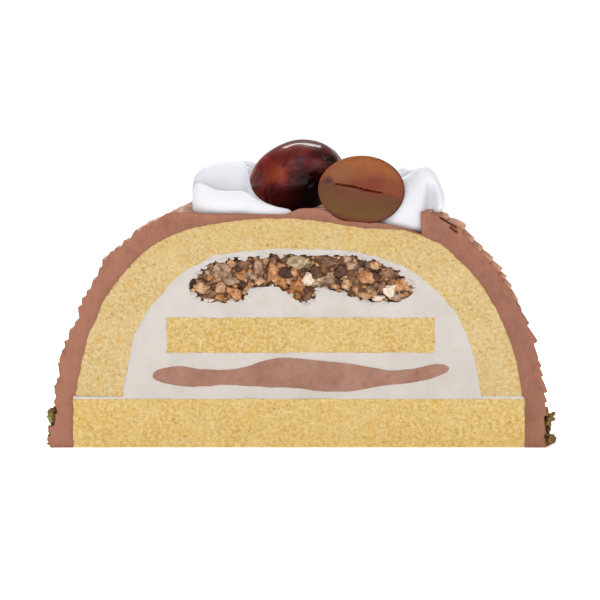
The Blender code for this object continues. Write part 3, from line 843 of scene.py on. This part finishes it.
chopped = {
    # three colours from the cracks outwards, roughness, wet shine
    "kinds": {
        "dark": ((45, 24, 15), (77, 45, 29), (106, 69, 46), 0.75, 0.0),
        "brown": ((81, 50, 32), (121, 83, 56), (157, 116, 84), 0.7, 0.0),
        "tan": ((143, 99, 65), (184, 140, 102), (213, 176, 138), 0.75, 0.0),
        "peach": ((147, 90, 51), (188, 130, 84), (214, 164, 118), 0.7, 0.0),
        "amber": ((111, 60, 17), (166, 106, 44), (200, 146, 83), 0.4, 0.35),
        "olive": ((96, 73, 42), (142, 114, 75), (190, 170, 141), 0.35, 0.5),
        "grey": ((110, 78, 59), (157, 124, 98), (198, 166, 140), 0.6, 0.1),
        "milky": ((200, 176, 153), (224, 202, 182), (235, 216, 199), 0.5, 0.2),
    },
    # the larger pieces at a cut end: kind, x, z, half width, half height
    "pieces": [
        ("grey", -19.3, 42.3, 3.0, 2.4), ("amber", -14.2, 41.4, 1.4, 1.5), ("tan", -16.3, 44.3, 1.2, 0.9),
        ("brown", -13.6, 44.3, 1.6, 1.2), ("olive", -0.6, 44.4, 3.3, 1.8),
        ("peach", -6.8, 42.0, 1.8, 2.2), ("amber", -0.9, 38.6, 2.2, 2.4), ("grey", -10.2, 43.4, 1.7, 2.1),
        ("brown", 5.8, 44.6, 2.4, 1.5), ("milky", 1.8, 40.4, 1.6, 1.5), ("grey", 6.5, 39.8, 2.3, 1.6),
        ("grey", 11.2, 45.2, 1.8, 1.1), ("dark", 14.2, 44.2, 1.3, 1.3), ("tan", 10.6, 38.9, 1.8, 1.4),
        ("peach", 15.8, 40.6, 1.9, 1.5), ("brown", 20.8, 41.8, 2.3, 1.6), ("peach", 24.9, 39.4, 1.5, 1.4),
        ("milky", 21.4, 37.3, 2.6, 1.7), ("tan", 14.8, 36.5, 2.1, 1.2), ("milky", 18.6, 35.9, 1.4, 0.9),
        ("tan", -23.7, 38.1, 2.1, 1.7), ("tan", -19.1, 38.1, 2.0, 1.5), ("peach", -15.2, 36.5, 1.5, 1.3),
        ("amber", -19.0, 35.8, 1.3, 0.9), ("tan", -12.7, 37.7, 1.1, 1.0),
        ("milky", -21.6, 35.2, 1.0, 0.6), ("brown", -23.9, 41.1, 1.6, 1.2),
        ("brown", 1.9, 36.0, 1.5, 1.4), ("tan", -9.6, 40.0, 1.6, 1.3), ("amber", -4.6, 40.0, 1.1, 1.2),
        ("brown", 12.6, 41.6, 1.5, 1.6), ("tan", 18.0, 43.7, 1.5, 1.0), ("grey", 23.0, 35.9, 1.3, 0.8),
        ("peach", 5.4, 36.3, 0.8, 0.75), ("dark", -5.6, 45.6, 0.9, 1.0), ("dark", 3.6, 42.0, 1.8, 1.5),
        ("dark", 9.6, 42.2, 1.8, 1.6), ("dark", -3.4, 41.9, 1.5, 1.3), ("grey", -16.6, 39.9, 1.6, 1.1),
    ],
    # smaller ones: radius, how many are tried, how deep they lie, how close they may come
    "fill": [((0.9, 1.6), 500, 1.4, 0.6), ((0.5, 0.9), 900, 1.2, 0.62), ((0.25, 0.5), 500, 0.9, 0.6)],
    "smears": 110,  # dabs of cream over the edge of the heap, at each end
}


def makeChopped():
    rng = random.Random(31)
    sorts = {kind: [] for kind in chopped["kinds"]}
    limit = cake["cutAt"] - 0.05

    def drop(kind, x, z, wide, tall, end, sunk, rounds, rough):
        deep = 0.45 * (wide + tall)
        place = (x, end * (cake["cutAt"] - 0.8 * deep - sunk), z)
        verts, faces = chip(rng, 1.0, place, rounds, (wide, deep, tall), 0.5, rough)
        shown = []
        for a, b, c in verts:
            skin = 0.22 + 0.2 * ripple(a * 1.1, c * 1.1, 4.0 * end)
            shown.append((a, max(-limit + skin, min(limit - skin, b)), c))
        sorts[kind].append((shown, faces))

    for end in (-1.0, 1.0):
        placed = []
        for kind, x, z, wide, tall in chopped["pieces"]:
            if end > 0.0:
                x, z = x + rng.uniform(-1.2, 1.2), z + rng.uniform(-0.3, 0.3)
                kind = rng.choice((kind, kind, "tan", "brown"))
            placed.append((x, z, 0.5 * (wide + tall)))
            drop(kind, x, z, 1.1 * wide, 1.1 * tall, end, rng.uniform(0.0, 0.4), 4, 0.24)
        for size, tries, depth, nearness in chopped["fill"]:
            for _ in range(tries):
                radius = rng.uniform(*size)
                x = rng.uniform(heap["from"] + 0.6 * radius, heap["to"] - 0.6 * radius)
                low, high = heapHeights(x)
                if high - low < 1.4 * radius:
                    continue
                z = rng.uniform(low + 0.45 * radius, high - 0.45 * radius)
                if any(math.hypot(x - a, z - b) < nearness * (radius + r) for a, b, r in placed):
                    continue
                placed.append((x, z, radius))
                fringe = 1.0 - smooth(0.0, 0.45, (z - low) / (high - low))
                warm = min(0.95, 0.3 + 0.55 * fringe + 0.15 * (abs(x + 3.0) > 10.0))
                kinds = ("tan", "peach", "amber", "brown", "dark", "grey")
                shares = (0.55 * warm, 0.25 * warm, 0.08, 0.6 * (1.0 - warm), 0.36 * (1.0 - warm), 0.2)
                kind = rng.choices(kinds, shares)[0]
                wide, tall = radius * rng.uniform(0.85, 1.35), radius * rng.uniform(0.7, 1.1)
                rounds = 3 if radius > 0.8 else 2
                drop(kind, x, z, wide, tall, end, depth * rng.uniform(0.1, 1.0), rounds, 0.34)
    for kind, pieces in sorts.items():
        *shades, roughness, shine = chopped["kinds"][kind]
        verts, faces = pile(pieces)
        material = crumbMaterial(kind + "Crumb", shades, roughness, 0.6, shine)
        serve(makeObject(kind + "Crumb", verts, faces, [material], 35.0), "chopped_chestnut")

    def packed(x, z, end):
        lump = noise.voronoi(Vector((x / 2.0, z / 2.0, 6.0 * end)))[0][0]
        return 0.6 + 1.7 * lump + 0.4 * ripple(x, z, end)

    dabs = []
    edge = heapLine()
    for end in (-1.0, 1.0):
        for _ in range(chopped["smears"]):
            k = rng.randrange(len(edge) - 1)
            (x, z), (xNext, zNext) = edge[k], edge[k + 1]
            length = max(0.1, math.hypot(xNext - x, zNext - z))
            size = rng.uniform(0.35, 0.85)
            out = rng.uniform(-0.35, 0.55)
            x, z = x + out * (zNext - z) / length, z - out * (xNext - x) / length
            place = (x, end * (cake["cutAt"] - 0.16 - 0.4 * size), z)
            stretch = (size * rng.uniform(0.9, 1.5), 0.5 * size, size * rng.uniform(0.6, 1.0))
            dabs.append(chip(rng, 1.0, place, 3, stretch, 0.8, 0.35))
    verts, faces = pile(dabs)
    serve(makeObject("creamDabs", verts, faces, [creamMaterial()], 60.0), "cream")

    core = crumbMaterial("packedCrumb", [(64, 37, 23), (105, 70, 46), (148, 109, 77)], 0.8, 0.7)
    made = cutLayer("choppedCore", heapLine(), [], 0.6, packed, core, 9)
    serve(made, "chopped_chestnut", "chopped_chestnut")
    print("chestnuts chopped")


pistachio = {
    "perSide": 420,
    "farthest": 61.8,  # no chip stands out farther than this
    "last": 73.5,  # nor lies farther back
    "band": (0.4, 8.6),
    "radius": (0.55, 1.35),
    # share, three colours
    "kinds": {
        "green": (0.42, (77, 64, 8), (116, 100, 23), (152, 132, 45)),
        "olive": (0.34, (66, 46, 11), (105, 76, 23), (140, 107, 42)),
        "skin": (0.24, (47, 26, 12), (85, 51, 27), (124, 85, 47)),
    },
    # chips at the front cut: kind, x, how far behind the cut, z, radius
    "front": [
        ("green", -59.7, 1.0, 6.9, 1.35), ("skin", -59.2, 1.0, 5.2, 0.85),
        ("olive", -60.2, 1.3, 4.6, 0.75), ("skin", -60.2, 1.4, 3.7, 0.75),
        ("olive", -60.3, 1.4, 2.6, 0.8), ("skin", -60.2, 1.3, 1.7, 0.75),
        ("olive", -60.2, 1.3, 0.7, 0.85), ("skin", -58.9, 1.2, 9.6, 0.55), ("green", 58.7, 1.0, 9.4, 0.8),
        ("green", 58.8, 1.0, 8.2, 0.85), ("olive", 59.7, 1.2, 7.1, 1.3), ("green", 60.6, 1.4, 8.0, 0.75),
        ("green", 60.5, 1.5, 6.7, 0.8), ("green", 59.3, 1.1, 5.5, 1.1), ("olive", 59.5, 1.2, 4.1, 0.95),
        ("skin", 59.1, 1.1, 3.0, 1.0), ("olive", 60.0, 1.2, 1.9, 1.35), ("skin", 60.9, 1.6, 1.8, 0.85),
        ("olive", 59.2, 1.0, 0.9, 0.95),
    ],
}


def makePistachio():
    rng = random.Random(17)
    kinds = list(pistachio["kinds"])
    shares = [pistachio["kinds"][kind][0] for kind in kinds]
    sorts = {kind: [] for kind in kinds}

    far = pistachio["farthest"]

    def drop(kind, x, y, z, radius):
        stretch = (rng.uniform(0.7, 0.95), rng.uniform(0.9, 1.3), rng.uniform(0.75, 1.0))
        verts, faces = chip(rng, radius, (x, y, z), 3 if radius > 0.9 else 2, stretch, 0.5, 0.3)
        sorts[kind].append(([(max(-far, min(far, a)), b, max(0.0, c)) for a, b, c in verts], faces))

    for kind, x, back, z, radius in pistachio["front"]:
        drop(kind, x, front + back, z, radius)
    for side in ("left", "right"):
        path = flankPath(side)
        for i in range(pistachio["perSide"]):
            low, high = pistachio["band"]
            radius = rng.uniform(*pistachio["radius"]) * (0.75 if rng.random() < 0.4 else 1.0)
            arc = max(radius * 0.8, low + (high - low) * rng.random() ** 1.35)
            share = (i + rng.random()) / pistachio["perSide"]
            y = front + radius + 1.2 + (cakeLength - 2 * radius - 1.6) * share
            out = rng.uniform(0.2, 0.8) * radius + 0.3
            x, z, nx, nz = (float(np.interp(arc, path["arc"], path[key])) for key in ("x", "z", "nx", "nz"))
            y, z = min(y, pistachio["last"]), max(radius * 0.72, z + nz * out)
            drop(rng.choices(kinds, shares)[0], x + nx * out, y, z, radius)
    for kind, pieces in sorts.items():
        verts, faces = pile(pieces)
        material = crumbMaterial(kind + "Chip", pistachio["kinds"][kind][1:], 0.55, 0.6)
        serve(makeObject(kind + "Chip", verts, faces, [material], 35.0), "chestnut_cream")
    print("pistachio scattered")


# Whipped cream ruffles

ruffle = {
    "pitch": 26.8,
    "perSide": 6,
    # left ones, across the cake: x, lip, top of the back wall, depth, how hollow, how far back it starts
    "left": [
        (-25.9, 60.4, 61.4, 4.0, 0.0, 3.6), (-25.8, 61.8, 63.6, 6.5, 0.1, 2.0),
        (-24.8, 63.4, 65.8, 8.5, 0.35, 1.0), (-22.9, 63.2, 67.2, 10.0, 0.9, 0.3),
        (-20.6, 61.7, 68.0, 10.8, 1.0, 0.0), (-17.4, 61.3, 68.4, 11.2, 1.0, 0.0),
        (-14.9, 61.5, 68.6, 11.0, 1.0, 0.0), (-13.3, 61.3, 68.3, 10.4, 0.9, 0.0),
        (-12.6, 60.9, 66.4, 8.0, 0.5, 0.0), (-12.0, 60.4, 62.4, 6.4, 0.1, 0.0),
        (-11.1, 59.7, 60.5, 6.0, 0.0, 0.0), (-9.8, 58.8, 59.2, 6.0, 0.0, 0.0),
        (-8.0, 57.8, 58.1, 5.8, 0.0, 0.0), (-5.0, 57.0, 57.2, 5.2, 0.0, 0.0),
        (-1.9, 56.7, 56.8, 4.0, 0.0, 0.3),
    ],
    # right ones: x, foot, top, depth, how far back the front lies from foot to top
    "right": [
        (16.8, 52.4, 60.4, 9.0, (3.0, 3.0, 3.0, 3.2, 3.6)),
        (19.6, 52.2, 62.6, 10.0, (1.5, 1.2, 1.2, 1.6, 2.6)),
        (22.8, 51.6, 64.0, 11.0, (0.6, 0.3, 0.4, 0.9, 2.2)),
        (26.0, 51.0, 65.0, 11.0, (0.3, 0.0, 0.0, 0.6, 2.0)),
        (28.4, 50.6, 67.2, 11.0, (0.2, 0.2, 0.0, 0.4, 1.8)),
        (29.5, 50.8, 67.4, 10.8, (0.3, 0.9, 1.2, 0.5, 1.6)),
        (30.2, 54.4, 67.1, 10.6, (1.2, 2.8, 3.0, 0.9, 1.8)),
        (31.2, 55.0, 66.4, 10.2, (0.6, 3.2, 3.4, 1.3, 2.0)),
        (31.9, 55.2, 65.7, 9.8, (0.2, 1.6, 2.2, 1.2, 2.2)),
        (32.8, 55.6, 64.5, 9.0, (0.0, -0.3, 0.2, 1.0, 2.4)),
        (33.8, 56.4, 62.0, 8.0, (0.5, 0.0, 0.4, 1.4, 2.8)),
        (34.5, 57.8, 60.2, 6.0, (2.0, 1.6, 1.8, 2.4, 3.2)),
    ],
}


def ruffleSection(side, station):
    # from the front foot over the top to the back foot
    if side == "left":
        x, lip, top, depth, hollow, start = station
        low, rise = troughHeight(x, 0.0) - 1.5, top - lip
        points = [
            (0.1 * depth, low), (-0.02 * depth, low + 0.45 * (lip - low)), (0.0, lip - 0.9),
            (0.05 * depth, lip + 0.1), (0.13 * depth, lip - 0.6 * hollow),
            (0.25 * depth, lip - 1.9 * hollow),
            (0.4 * depth, lip - 1.6 * hollow + 0.3 * (1.0 - hollow) * rise),
            (0.52 * depth, lip + 0.3 * rise), (0.53 * depth, lip + 0.72 * rise),
            (0.45 * depth, top - 0.4), (0.5 * depth, top + 0.2), (0.62 * depth, top - 0.1),
            (0.8 * depth, low + 0.62 * (top - low)), (0.95 * depth, low + 0.3 * (top - low)),
            (depth, low),
        ]
        return [(start + y, z) for y, z in points]
    x, low, top, depth, recess = station
    points = [(recess[i], low + share * (top - low)) for i, share in enumerate((0.0, 0.24, 0.48, 0.74, 0.95))]
    return points + [
        (recess[4] + 0.9, top + 0.1), (0.45 * depth, top - 0.1), (0.66 * depth, low + 0.84 * (top - low)),
        (0.86 * depth, low + 0.55 * (top - low)), (0.97 * depth, low + 0.25 * (top - low)), (depth, low),
    ]


def whippedMaterial():
    material, tree, shader = newMaterial(
        "whippedCream", 0.38, (0.3, (1.0, 0.95, 0.9), 2.0), Coat_Weight=0.15, Coat_Roughness=0.3
    )
    colour = colourSteps(tree, spots(tree, 6.0, 3.0, 0.5), [(0.35, (211, 211, 217)), (0.65, (218, 218, 222))])
    dress(tree, shader, colour, spots(tree, 1.8, 3.0, 0.5), 0.05)
    return material


def makeRuffles():
    rng = random.Random(29)
    material = whippedMaterial()
    for i in range(2 * ruffle["perSide"]):
        row, side = i % ruffle["perSide"], ("left", "right")[i // ruffle["perSide"]]
        tall, long = (rng.uniform(0.86, 0.94), rng.uniform(0.85, 1.05)) if row else (1.0, 1.0)
        swing = rng.uniform(-1.0, 1.0) if row else 0.0
        sway = [rng.uniform(-0.5, 0.5) if row else 0.0 for _ in ruffle[side]]
        y = front + 0.7 + ruffle["pitch"] * row
        verts, faces = [], []
        for station, push in zip(ruffle[side], sway):
            section = ruffleSection(side, station)
            low = min(section[0][1], section[-1][1])
            for back, z in section:
                x = station[0] + 0.12 * swing * (back - 5.0)
                verts.append((x, y + back * long + push, low + (z - low) * (tall + 0.05 * push)))
        count, rings = len(section), len(ruffle[side])
        for j in range(rings - 1):
            for k in range(count):
                a, b = j * count + k, j * count + (k + 1) % count
                faces.append((b, a, a + count, b + count))
        faces += [tuple(range(count)), tuple(range((rings - 1) * count, rings * count))[::-1]]
        obj = makeObject(f"creamRuffle{side.title()}{row + 1}", verts, faces, [material], 180.0)
        rounder = obj.modifiers.new("rounder", "SUBSURF")
        rounder.levels = rounder.render_levels = 3 if row == 0 else 2
        serve(obj, "whipped_cream", f"cream_ruffle_{side}_{row + 1}")
    print("ruffles piped")


# Candied chestnuts

chestnuts = {
    "count": 8,
    "pitch": 20.4,
    "radii": (11.55, 8.2, 8.6),
    "slim": -0.09,  # above 0 the end at +X is the slimmer one, below 0 the stouter one
    "furrow": 0.34,
    "hollow": ((0.78, -0.57, 0.25), 0.13, 0.8),  # a dent near the right end: where, how wide, how deep
    # colours on the skin, with a painted sheen and a painted shadow among them: where, how far they reach,
    # how strong, colour
    "skinTintsSheenAndShadow": [
        ((-4.6, 0.0, 1.8), 3.2, 0.75, (166, 72, 34)), ((-9.4, 0.0, 0.4), 3.4, 0.6, (112, 54, 44)),
        # painted sheen: the purple-grey patch at (1.9, 3.3)
        ((1.9, 0.0, 3.3), 3.4, 0.8, (76, 42, 50)), ((-3.0, 0.0, 5.2), 2.6, 0.5, (116, 24, 14)),
        ((5.6, 0.0, 1.6), 1.8, 0.3, (150, 112, 104)), ((-6.0, 0.0, -3.4), 3.4, 0.6, (64, 20, 26)),
        # painted shadow: the near-black patch at (2.8, -5.6), cast by the halved chestnut
        ((2.8, 0.0, -5.6), 9.0, 1.0, (10, 2, 4)), ((8.9, 0.0, 2.3), 2.0, 0.95, (8, 2, 3)),
    ],
    # colours on the cut face: where, how far they reach, how strong, colour
    "tints": [
        ((3.2, 0.0, 1.5), 5.2, 0.85, (117, 41, 23)), ((-1.6, 0.0, 1.9), 2.6, 0.6, (117, 43, 19)),
        ((-1.6, 0.0, -1.6), 4.6, 0.7, (104, 52, 34)), ((-5.2, 0.0, 3.9), 4.4, 0.8, (129, 81, 46)),
        ((9.0, 0.0, 1.2), 4.4, 0.8, (123, 52, 11)), ((-5.4, 0.0, 0.4), 2.2, 0.6, (107, 48, 32)),
        ((-8.6, 0.0, 0.5), 2.6, 0.6, (92, 54, 27)), ((-8.0, 0.0, 2.0), 1.7, 0.95, (53, 19, 19)),
    ],
    "half": {"place": (14.4, front, 61.5), "radii": (10.25, 7.2, 8.15), "slim": 0.02, "tilt": 2.5},
}


def chestnutPlaces():
    rng = random.Random(23)
    long, deep, tall = chestnuts["radii"]
    places = []
    for i in range(chestnuts["count"] - 1):
        grow = rng.uniform(0.9, 0.96) if i else 1.0
        lean = math.radians(rng.uniform(-16.0, -10.0) if i else -13.0)
        spin = math.radians(rng.uniform(-16.0, 16.0)) if i else 0.0
        middle = (-1.1 if i % 2 == 0 else 0.5, front + 17.0 + chestnuts["pitch"] * i, 64.55)
        places.append((middle, (0.0, lean, spin), (long * grow, deep * grow, tall * grow)))
    return places


def ovoid(direction, radii, slim):
    # a place on the nut
    x, y, z = direction
    across = 1.0 - slim * x
    return Vector((x * radii[0], y * across * radii[1], z * across * radii[2]))


def chestnutSkinMaterial():
    material, tree, shader = newMaterial(
        "candiedSkin", 0.3, (0.1, (1.0, 0.25, 0.12), 1.5),
        Coat_Weight=0.6, Coat_Roughness=0.06, Coat_IOR=1.28, Specular_IOR_Level=0.05,
    )
    # redder at the slim left end; painted shadow, nearly black towards the right end and underneath
    at = placeOn(tree)
    dark = addUp(tree, spread(tree, at["X"], -7 * mm, 8 * mm), spread(tree, at["Z"], -9 * mm, 1 * mm), -0.8)
    patches = spots(tree, 6.0, 5.0, 0.62, (0.6, 1.0, 1.0), distortion=1.2)
    steps = [
        (0.26, (21, 2, 5)), (0.38, (53, 7, 8)), (0.5, (91, 16, 14)), (0.62, (117, 26, 21)),
        (0.76, (152, 56, 37)),
    ]
    colour = colourSteps(tree, addUp(tree, patches, dark, -0.24), steps)
    veins = spots(tree, 4.0, 4.0, 0.6, (0.3, 1.2, 1.2), "RIDGED_MULTIFRACTAL")
    colour = tinted(tree, colour, (27, 3, 6), veins, 0.7, 1.05, 0.0, 0.8)
    # painted highlight: thin paler streaks where light catches the fine ridges
    ridgeGlints = spots(tree, 3.0, 5.0, 0.7, (0.25, 1.3, 1.3), distortion=1.5)
    colour = tinted(tree, colour, (143, 73, 57), ridgeGlints, 0.6, 0.7, 0.0, 0.45)
    # the skin patches, with the painted sheen and the painted shadow among them
    for where, reach, most, tint in chestnuts["skinTintsSheenAndShadow"]:
        colour = blendColours(tree, patch(tree, where, reach, most), colour, tint)
    wrinkles = spots(tree, 5.0, 4.0, 0.55, (0.45, 1.0, 1.0), "RIDGED_MULTIFRACTAL", 0.6)
    # painted shade in the wrinkle furrows and painted highlight along their crests
    colour = tinted(tree, colour, (20, 5, 7), wrinkles, 0.3, 0.08, 0.0, 0.35)
    colour = tinted(tree, colour, (140, 84, 66), wrinkles, 0.95, 1.25, 0.0, 0.35)
    grain = addUp(tree, spots(tree, 1.6, 4.0, 0.55, (0.4, 1.0, 1.0)), wrinkles, 0.8)
    dress(tree, shader, colour, grain, 0.12)
    return material


def fleshMaterial():
    material, tree, shader = newMaterial(
        "candiedFlesh", 0.45, (0.15, (1.0, 0.5, 0.25), 1.0),
        Coat_Weight=0.1, Coat_Roughness=0.25, Specular_IOR_Level=0.25,
    )
    # the slit runs down to the right, amber above it and olive below
    at = placeOn(tree)
    slope = addUp(tree, at["Z"], at["X"], 0.16)
    cloud = spread(tree, spots(tree, 3.5, 5.0, 0.65, distortion=0.5), 0.0, 1.0, -1.6 * mm, 1.6 * mm)
    height = addUp(tree, slope, cloud)
    tall = chestnuts["half"]["radii"][2] * mm
    steps = [(0.0, (122, 55, 26)), (0.4, (134, 71, 30)), (0.85, (147, 82, 32))]
    upper = colourSteps(tree, spread(tree, height, 0.0, tall), steps)
    steps = [(0.05, (97, 46, 7)), (0.25, (99, 65, 7)), (0.55, (97, 58, 12)), (0.9, (97, 50, 20))]
    lower = colourSteps(tree, spread(tree, height, -tall, 0.0), steps)
    colour = tinted(tree, lower, upper, slope, 0.1 * mm, 0.6 * mm)
    for where, reach, most, tint in chestnuts["tints"]:
        colour = blendColours(tree, patch(tree, where, reach, most, 1.5), colour, tint)
    colour = tinted(tree, colour, (82, 34, 17), spots(tree, 0.8, 5.0, 0.7), 0.4, 0.65, 0.0, 0.22)
    # a dark rim, strongest low down
    rim = spread(tree, addUp(tree, marked(tree, "fromRim"), cloud, 300.0), 0.15, 1.4, 0.85, 0.0)
    both = addNode(tree, "ShaderNodeMath", operation="MULTIPLY")
    tree.links.new(rim, both.inputs[0])
    tree.links.new(spread(tree, at["Z"], -5.5 * mm, 1.0 * mm, 1.0, 0.15), both.inputs[1])
    colour = blendColours(tree, both.outputs[0], colour, (96, 27, 12))
    dress(tree, shader, colour, spots(tree, 0.6, 4.0, 0.65), 0.12)
    return material


def makeChestnuts():
    skin, flesh = chestnutSkinMaterial(), fleshMaterial()
    for number, (middle, turn, radii) in enumerate(chestnutPlaces(), 1):
        bm = bmesh.new()
        bmesh.ops.create_icosphere(bm, subdivisions=6 if number == 1 else 5, radius=1.0)
        verts = []
        for vert in bm.verts:
            at = ovoid(vert.co, radii, chestnuts["slim"])
            p = Vector((at.x / 15.0 + number * 9.0, at.y / 3.4, at.z / 3.4))
            furrow = max(0.0, 1.0 - abs(noise.noise(p)) / 0.16) * (1.0 - 0.85 * smooth(0.2, 0.7, vert.co.z))
            dent = ripple(at.x / 7.0, at.y / 5.0 + number, at.z / 5.0)
            fine = ripple(at.x / 3.4, at.y / 1.1, at.z / 1.1 + number)
            inwards = chestnuts["furrow"] * furrow * furrow + 0.24 * dent + 0.02 * fine
            spot, wide, deep = chestnuts["hollow"]
            inwards += hump((vert.co - Vector(spot)).length, 0.0, wide, deep)
            verts.append(tuple(at - vert.co.normalized() * inwards))
        faces = [tuple(v.index for v in f.verts) for f in bm.faces]
        bm.free()
        place = Matrix.Translation(Vector(middle) * mm) @ Euler(turn).to_matrix().to_4x4()
        obj = makeObject(f"candiedChestnut{number}", verts, faces, [skin], 180.0, place)
        serve(obj, "chestnut", f"chestnut_{number}")

    look = chestnuts["half"]
    radii, tilt = look["radii"], math.radians(look["tilt"])
    count = 150
    outline = []
    for i in range(count):
        angle = math.tau * i / count
        at = ovoid((math.cos(angle), 0.0, math.sin(angle)), radii, look["slim"])
        outline.append((-at.x, at.z))
    outline = outline[::-1]
    flat, triangles, sides = fillOutline(splitEvenly(outline, 0.3), [], 0.3, 12)

    def fromRim(x, z):
        egg = ovoid(Vector((-x / radii[0], 0.0, z / radii[2])).normalized(), radii, look["slim"])
        return math.hypot(egg.x, egg.z) - math.hypot(x, z)

    def cutRelief(x, z):
        along = (x + 0.55) / 6.2
        dip = z - 0.36 + 0.16 * x + 0.1 * math.sin(x / 1.3)
        lips = 0.12 * math.exp(-((abs(dip) - 0.5) ** 2 / 0.08))
        slit = (hump(dip, 0.0, 0.12, 1.3) - lips) * max(0.0, 1.0 - along**4)
        rounded = 0.3 * (1.0 - smooth(0.0, 0.9, fromRim(x, z)))
        return 0.2 + slit + rounded + 0.12 * ripple(x / 2.0, z / 2.0, 1.0)

    verts = [(x, max(0.0, cutRelief(x, z)), z) for x, z in flat]
    rims = [max(0.0, fromRim(x, z)) for x, z in flat]
    faces, kinds = list(triangles), []
    for a, b, c in triangles:
        x, z = (sum(flat[i][k] for i in (a, b, c)) / 3 for k in (0, 1))
        # the skin shows as a line on the right of the cut
        shown = 0.03 + 0.17 * smooth(-0.2, 0.7, x / radii[0])
        kinds.append(1 if fromRim(x, z) < shown else 0)
    ring = [a for a, b in sides]
    following = dict(sides)
    loop = [ring[0]]
    while following[loop[-1]] != loop[0]:
        loop.append(following[loop[-1]])
    before = loop
    steps = 14
    for k in range(1, steps + 1):
        angle = math.pi / 2 * k / steps
        current = []
        for i in loop:
            x, z = flat[i]
            bulge = 0.2 * ripple(x / 3.0, math.sin(angle) * 3.0, z / 3.0)
            shrink = math.cos(angle)
            current.append(len(verts))
            verts.append((x * shrink, math.sin(angle) * (radii[1] - 0.5 + bulge) + 0.35, z * shrink))
        for i in range(len(loop)):
            j = (i + 1) % len(loop)
            faces.append((before[j], before[i], current[i], current[j]))
            kinds.append(1)
        before = current
    place = Matrix.Translation(Vector(look["place"]) * mm) @ Matrix.Rotation(tilt, 4, "Y")
    half = makeObject("halvedChestnut", verts, faces, [flesh, skin], 50.0, place)
    half.data.polygons.foreach_set("material_index", kinds)
    mark(half, "fromRim", rims + [0.0] * (len(verts) - len(rims)))
    serve(half, "chestnut_flesh", "chestnut_half")
    print("chestnuts candied")


# Floor, light and camera

studio = {
    "eye": (-0.14, front - 430.0, 71.3),
    "aim": (-0.14, front, 35.45),
    "lens": 108.9,
    "sky": 0.52,
    "sweep": 1.04,  # the white sweep behind the cake, up to a low height
    "glow": 0.5,  # the table is lit from below
    "lights": [
        # name, place, aim, size, watts
        ("key", (-350.0, -900.0, 700.0), (0.0, 0.0, 30.0), (900.0, 900.0), 3.6),
        ("fill", (600.0, -800.0, 350.0), (0.0, 0.0, 30.0), (800.0, 800.0), 1.2),
        ("strip", (-20.0, 190.0, 560.0), (0.0, -40.0, 60.0), (420.0, 110.0), 2.6),
    ],
}


def aimed(name, data, place, aim):
    obj = bpy.data.objects.new(name, data)
    obj.location = Vector(place) * mm
    obj.rotation_euler = (Vector(aim) - Vector(place)).to_track_quat("-Z", "Y").to_euler()
    bpy.context.scene.collection.objects.link(obj)
    return obj


def makeStudio():
    scene = bpy.context.scene
    scene.view_settings.view_transform = "Standard"
    world = bpy.data.worlds.new("studio")
    scene.world = world
    world.use_nodes = True
    tree = world.node_tree
    strength = spread(tree, placeOn(tree, "Generated")["Z"], 0.12, 0.3, studio["sweep"], studio["sky"])
    backdrop = tree.nodes["Background"]
    backdrop.inputs["Color"].default_value = (1.0, 1.0, 1.0, 1.0)
    tree.links.new(strength, backdrop.inputs["Strength"])

    material, tree, shader = newMaterial(
        "paleTable", 0.7, Emission_Color=(1.0, 1.0, 1.0, 1.0), Emission_Strength=studio["glow"]
    )
    steps = [(0.3, (250, 250, 250)), (0.7, (253, 253, 253))]
    tree.links.new(colourSteps(tree, spots(tree, 300.0, 2.0, 0.5), steps), shader.inputs["Base Color"])
    far = 6000.0
    corners = [(-far, -far, 0), (far, -far, 0), (far, far, 0), (-far, far, 0)]
    floor = makeObject("table", corners, [(0, 1, 2, 3)], [material])

    for name, place, aim, size, watts in studio["lights"]:
        lamp = bpy.data.lights.new(name, "AREA")
        lamp.shape = "RECTANGLE"
        lamp.size, lamp.size_y = size[0] * mm, size[1] * mm
        lamp.energy = watts
        aimed(name, lamp, place, aim)

    lens = bpy.data.cameras.new("camera")
    lens.lens = studio["lens"]
    lens.clip_start, lens.clip_end = 0.01, 50.0
    scene.camera = aimed("camera", lens, studio["eye"], studio["aim"])
    print("studio lit")


makeStudio()
makeSponge()
makeFilling()
makeCoat()
makeChopped()
makePistachio()
makeRuffles()
makeChestnuts()

print("cake served")
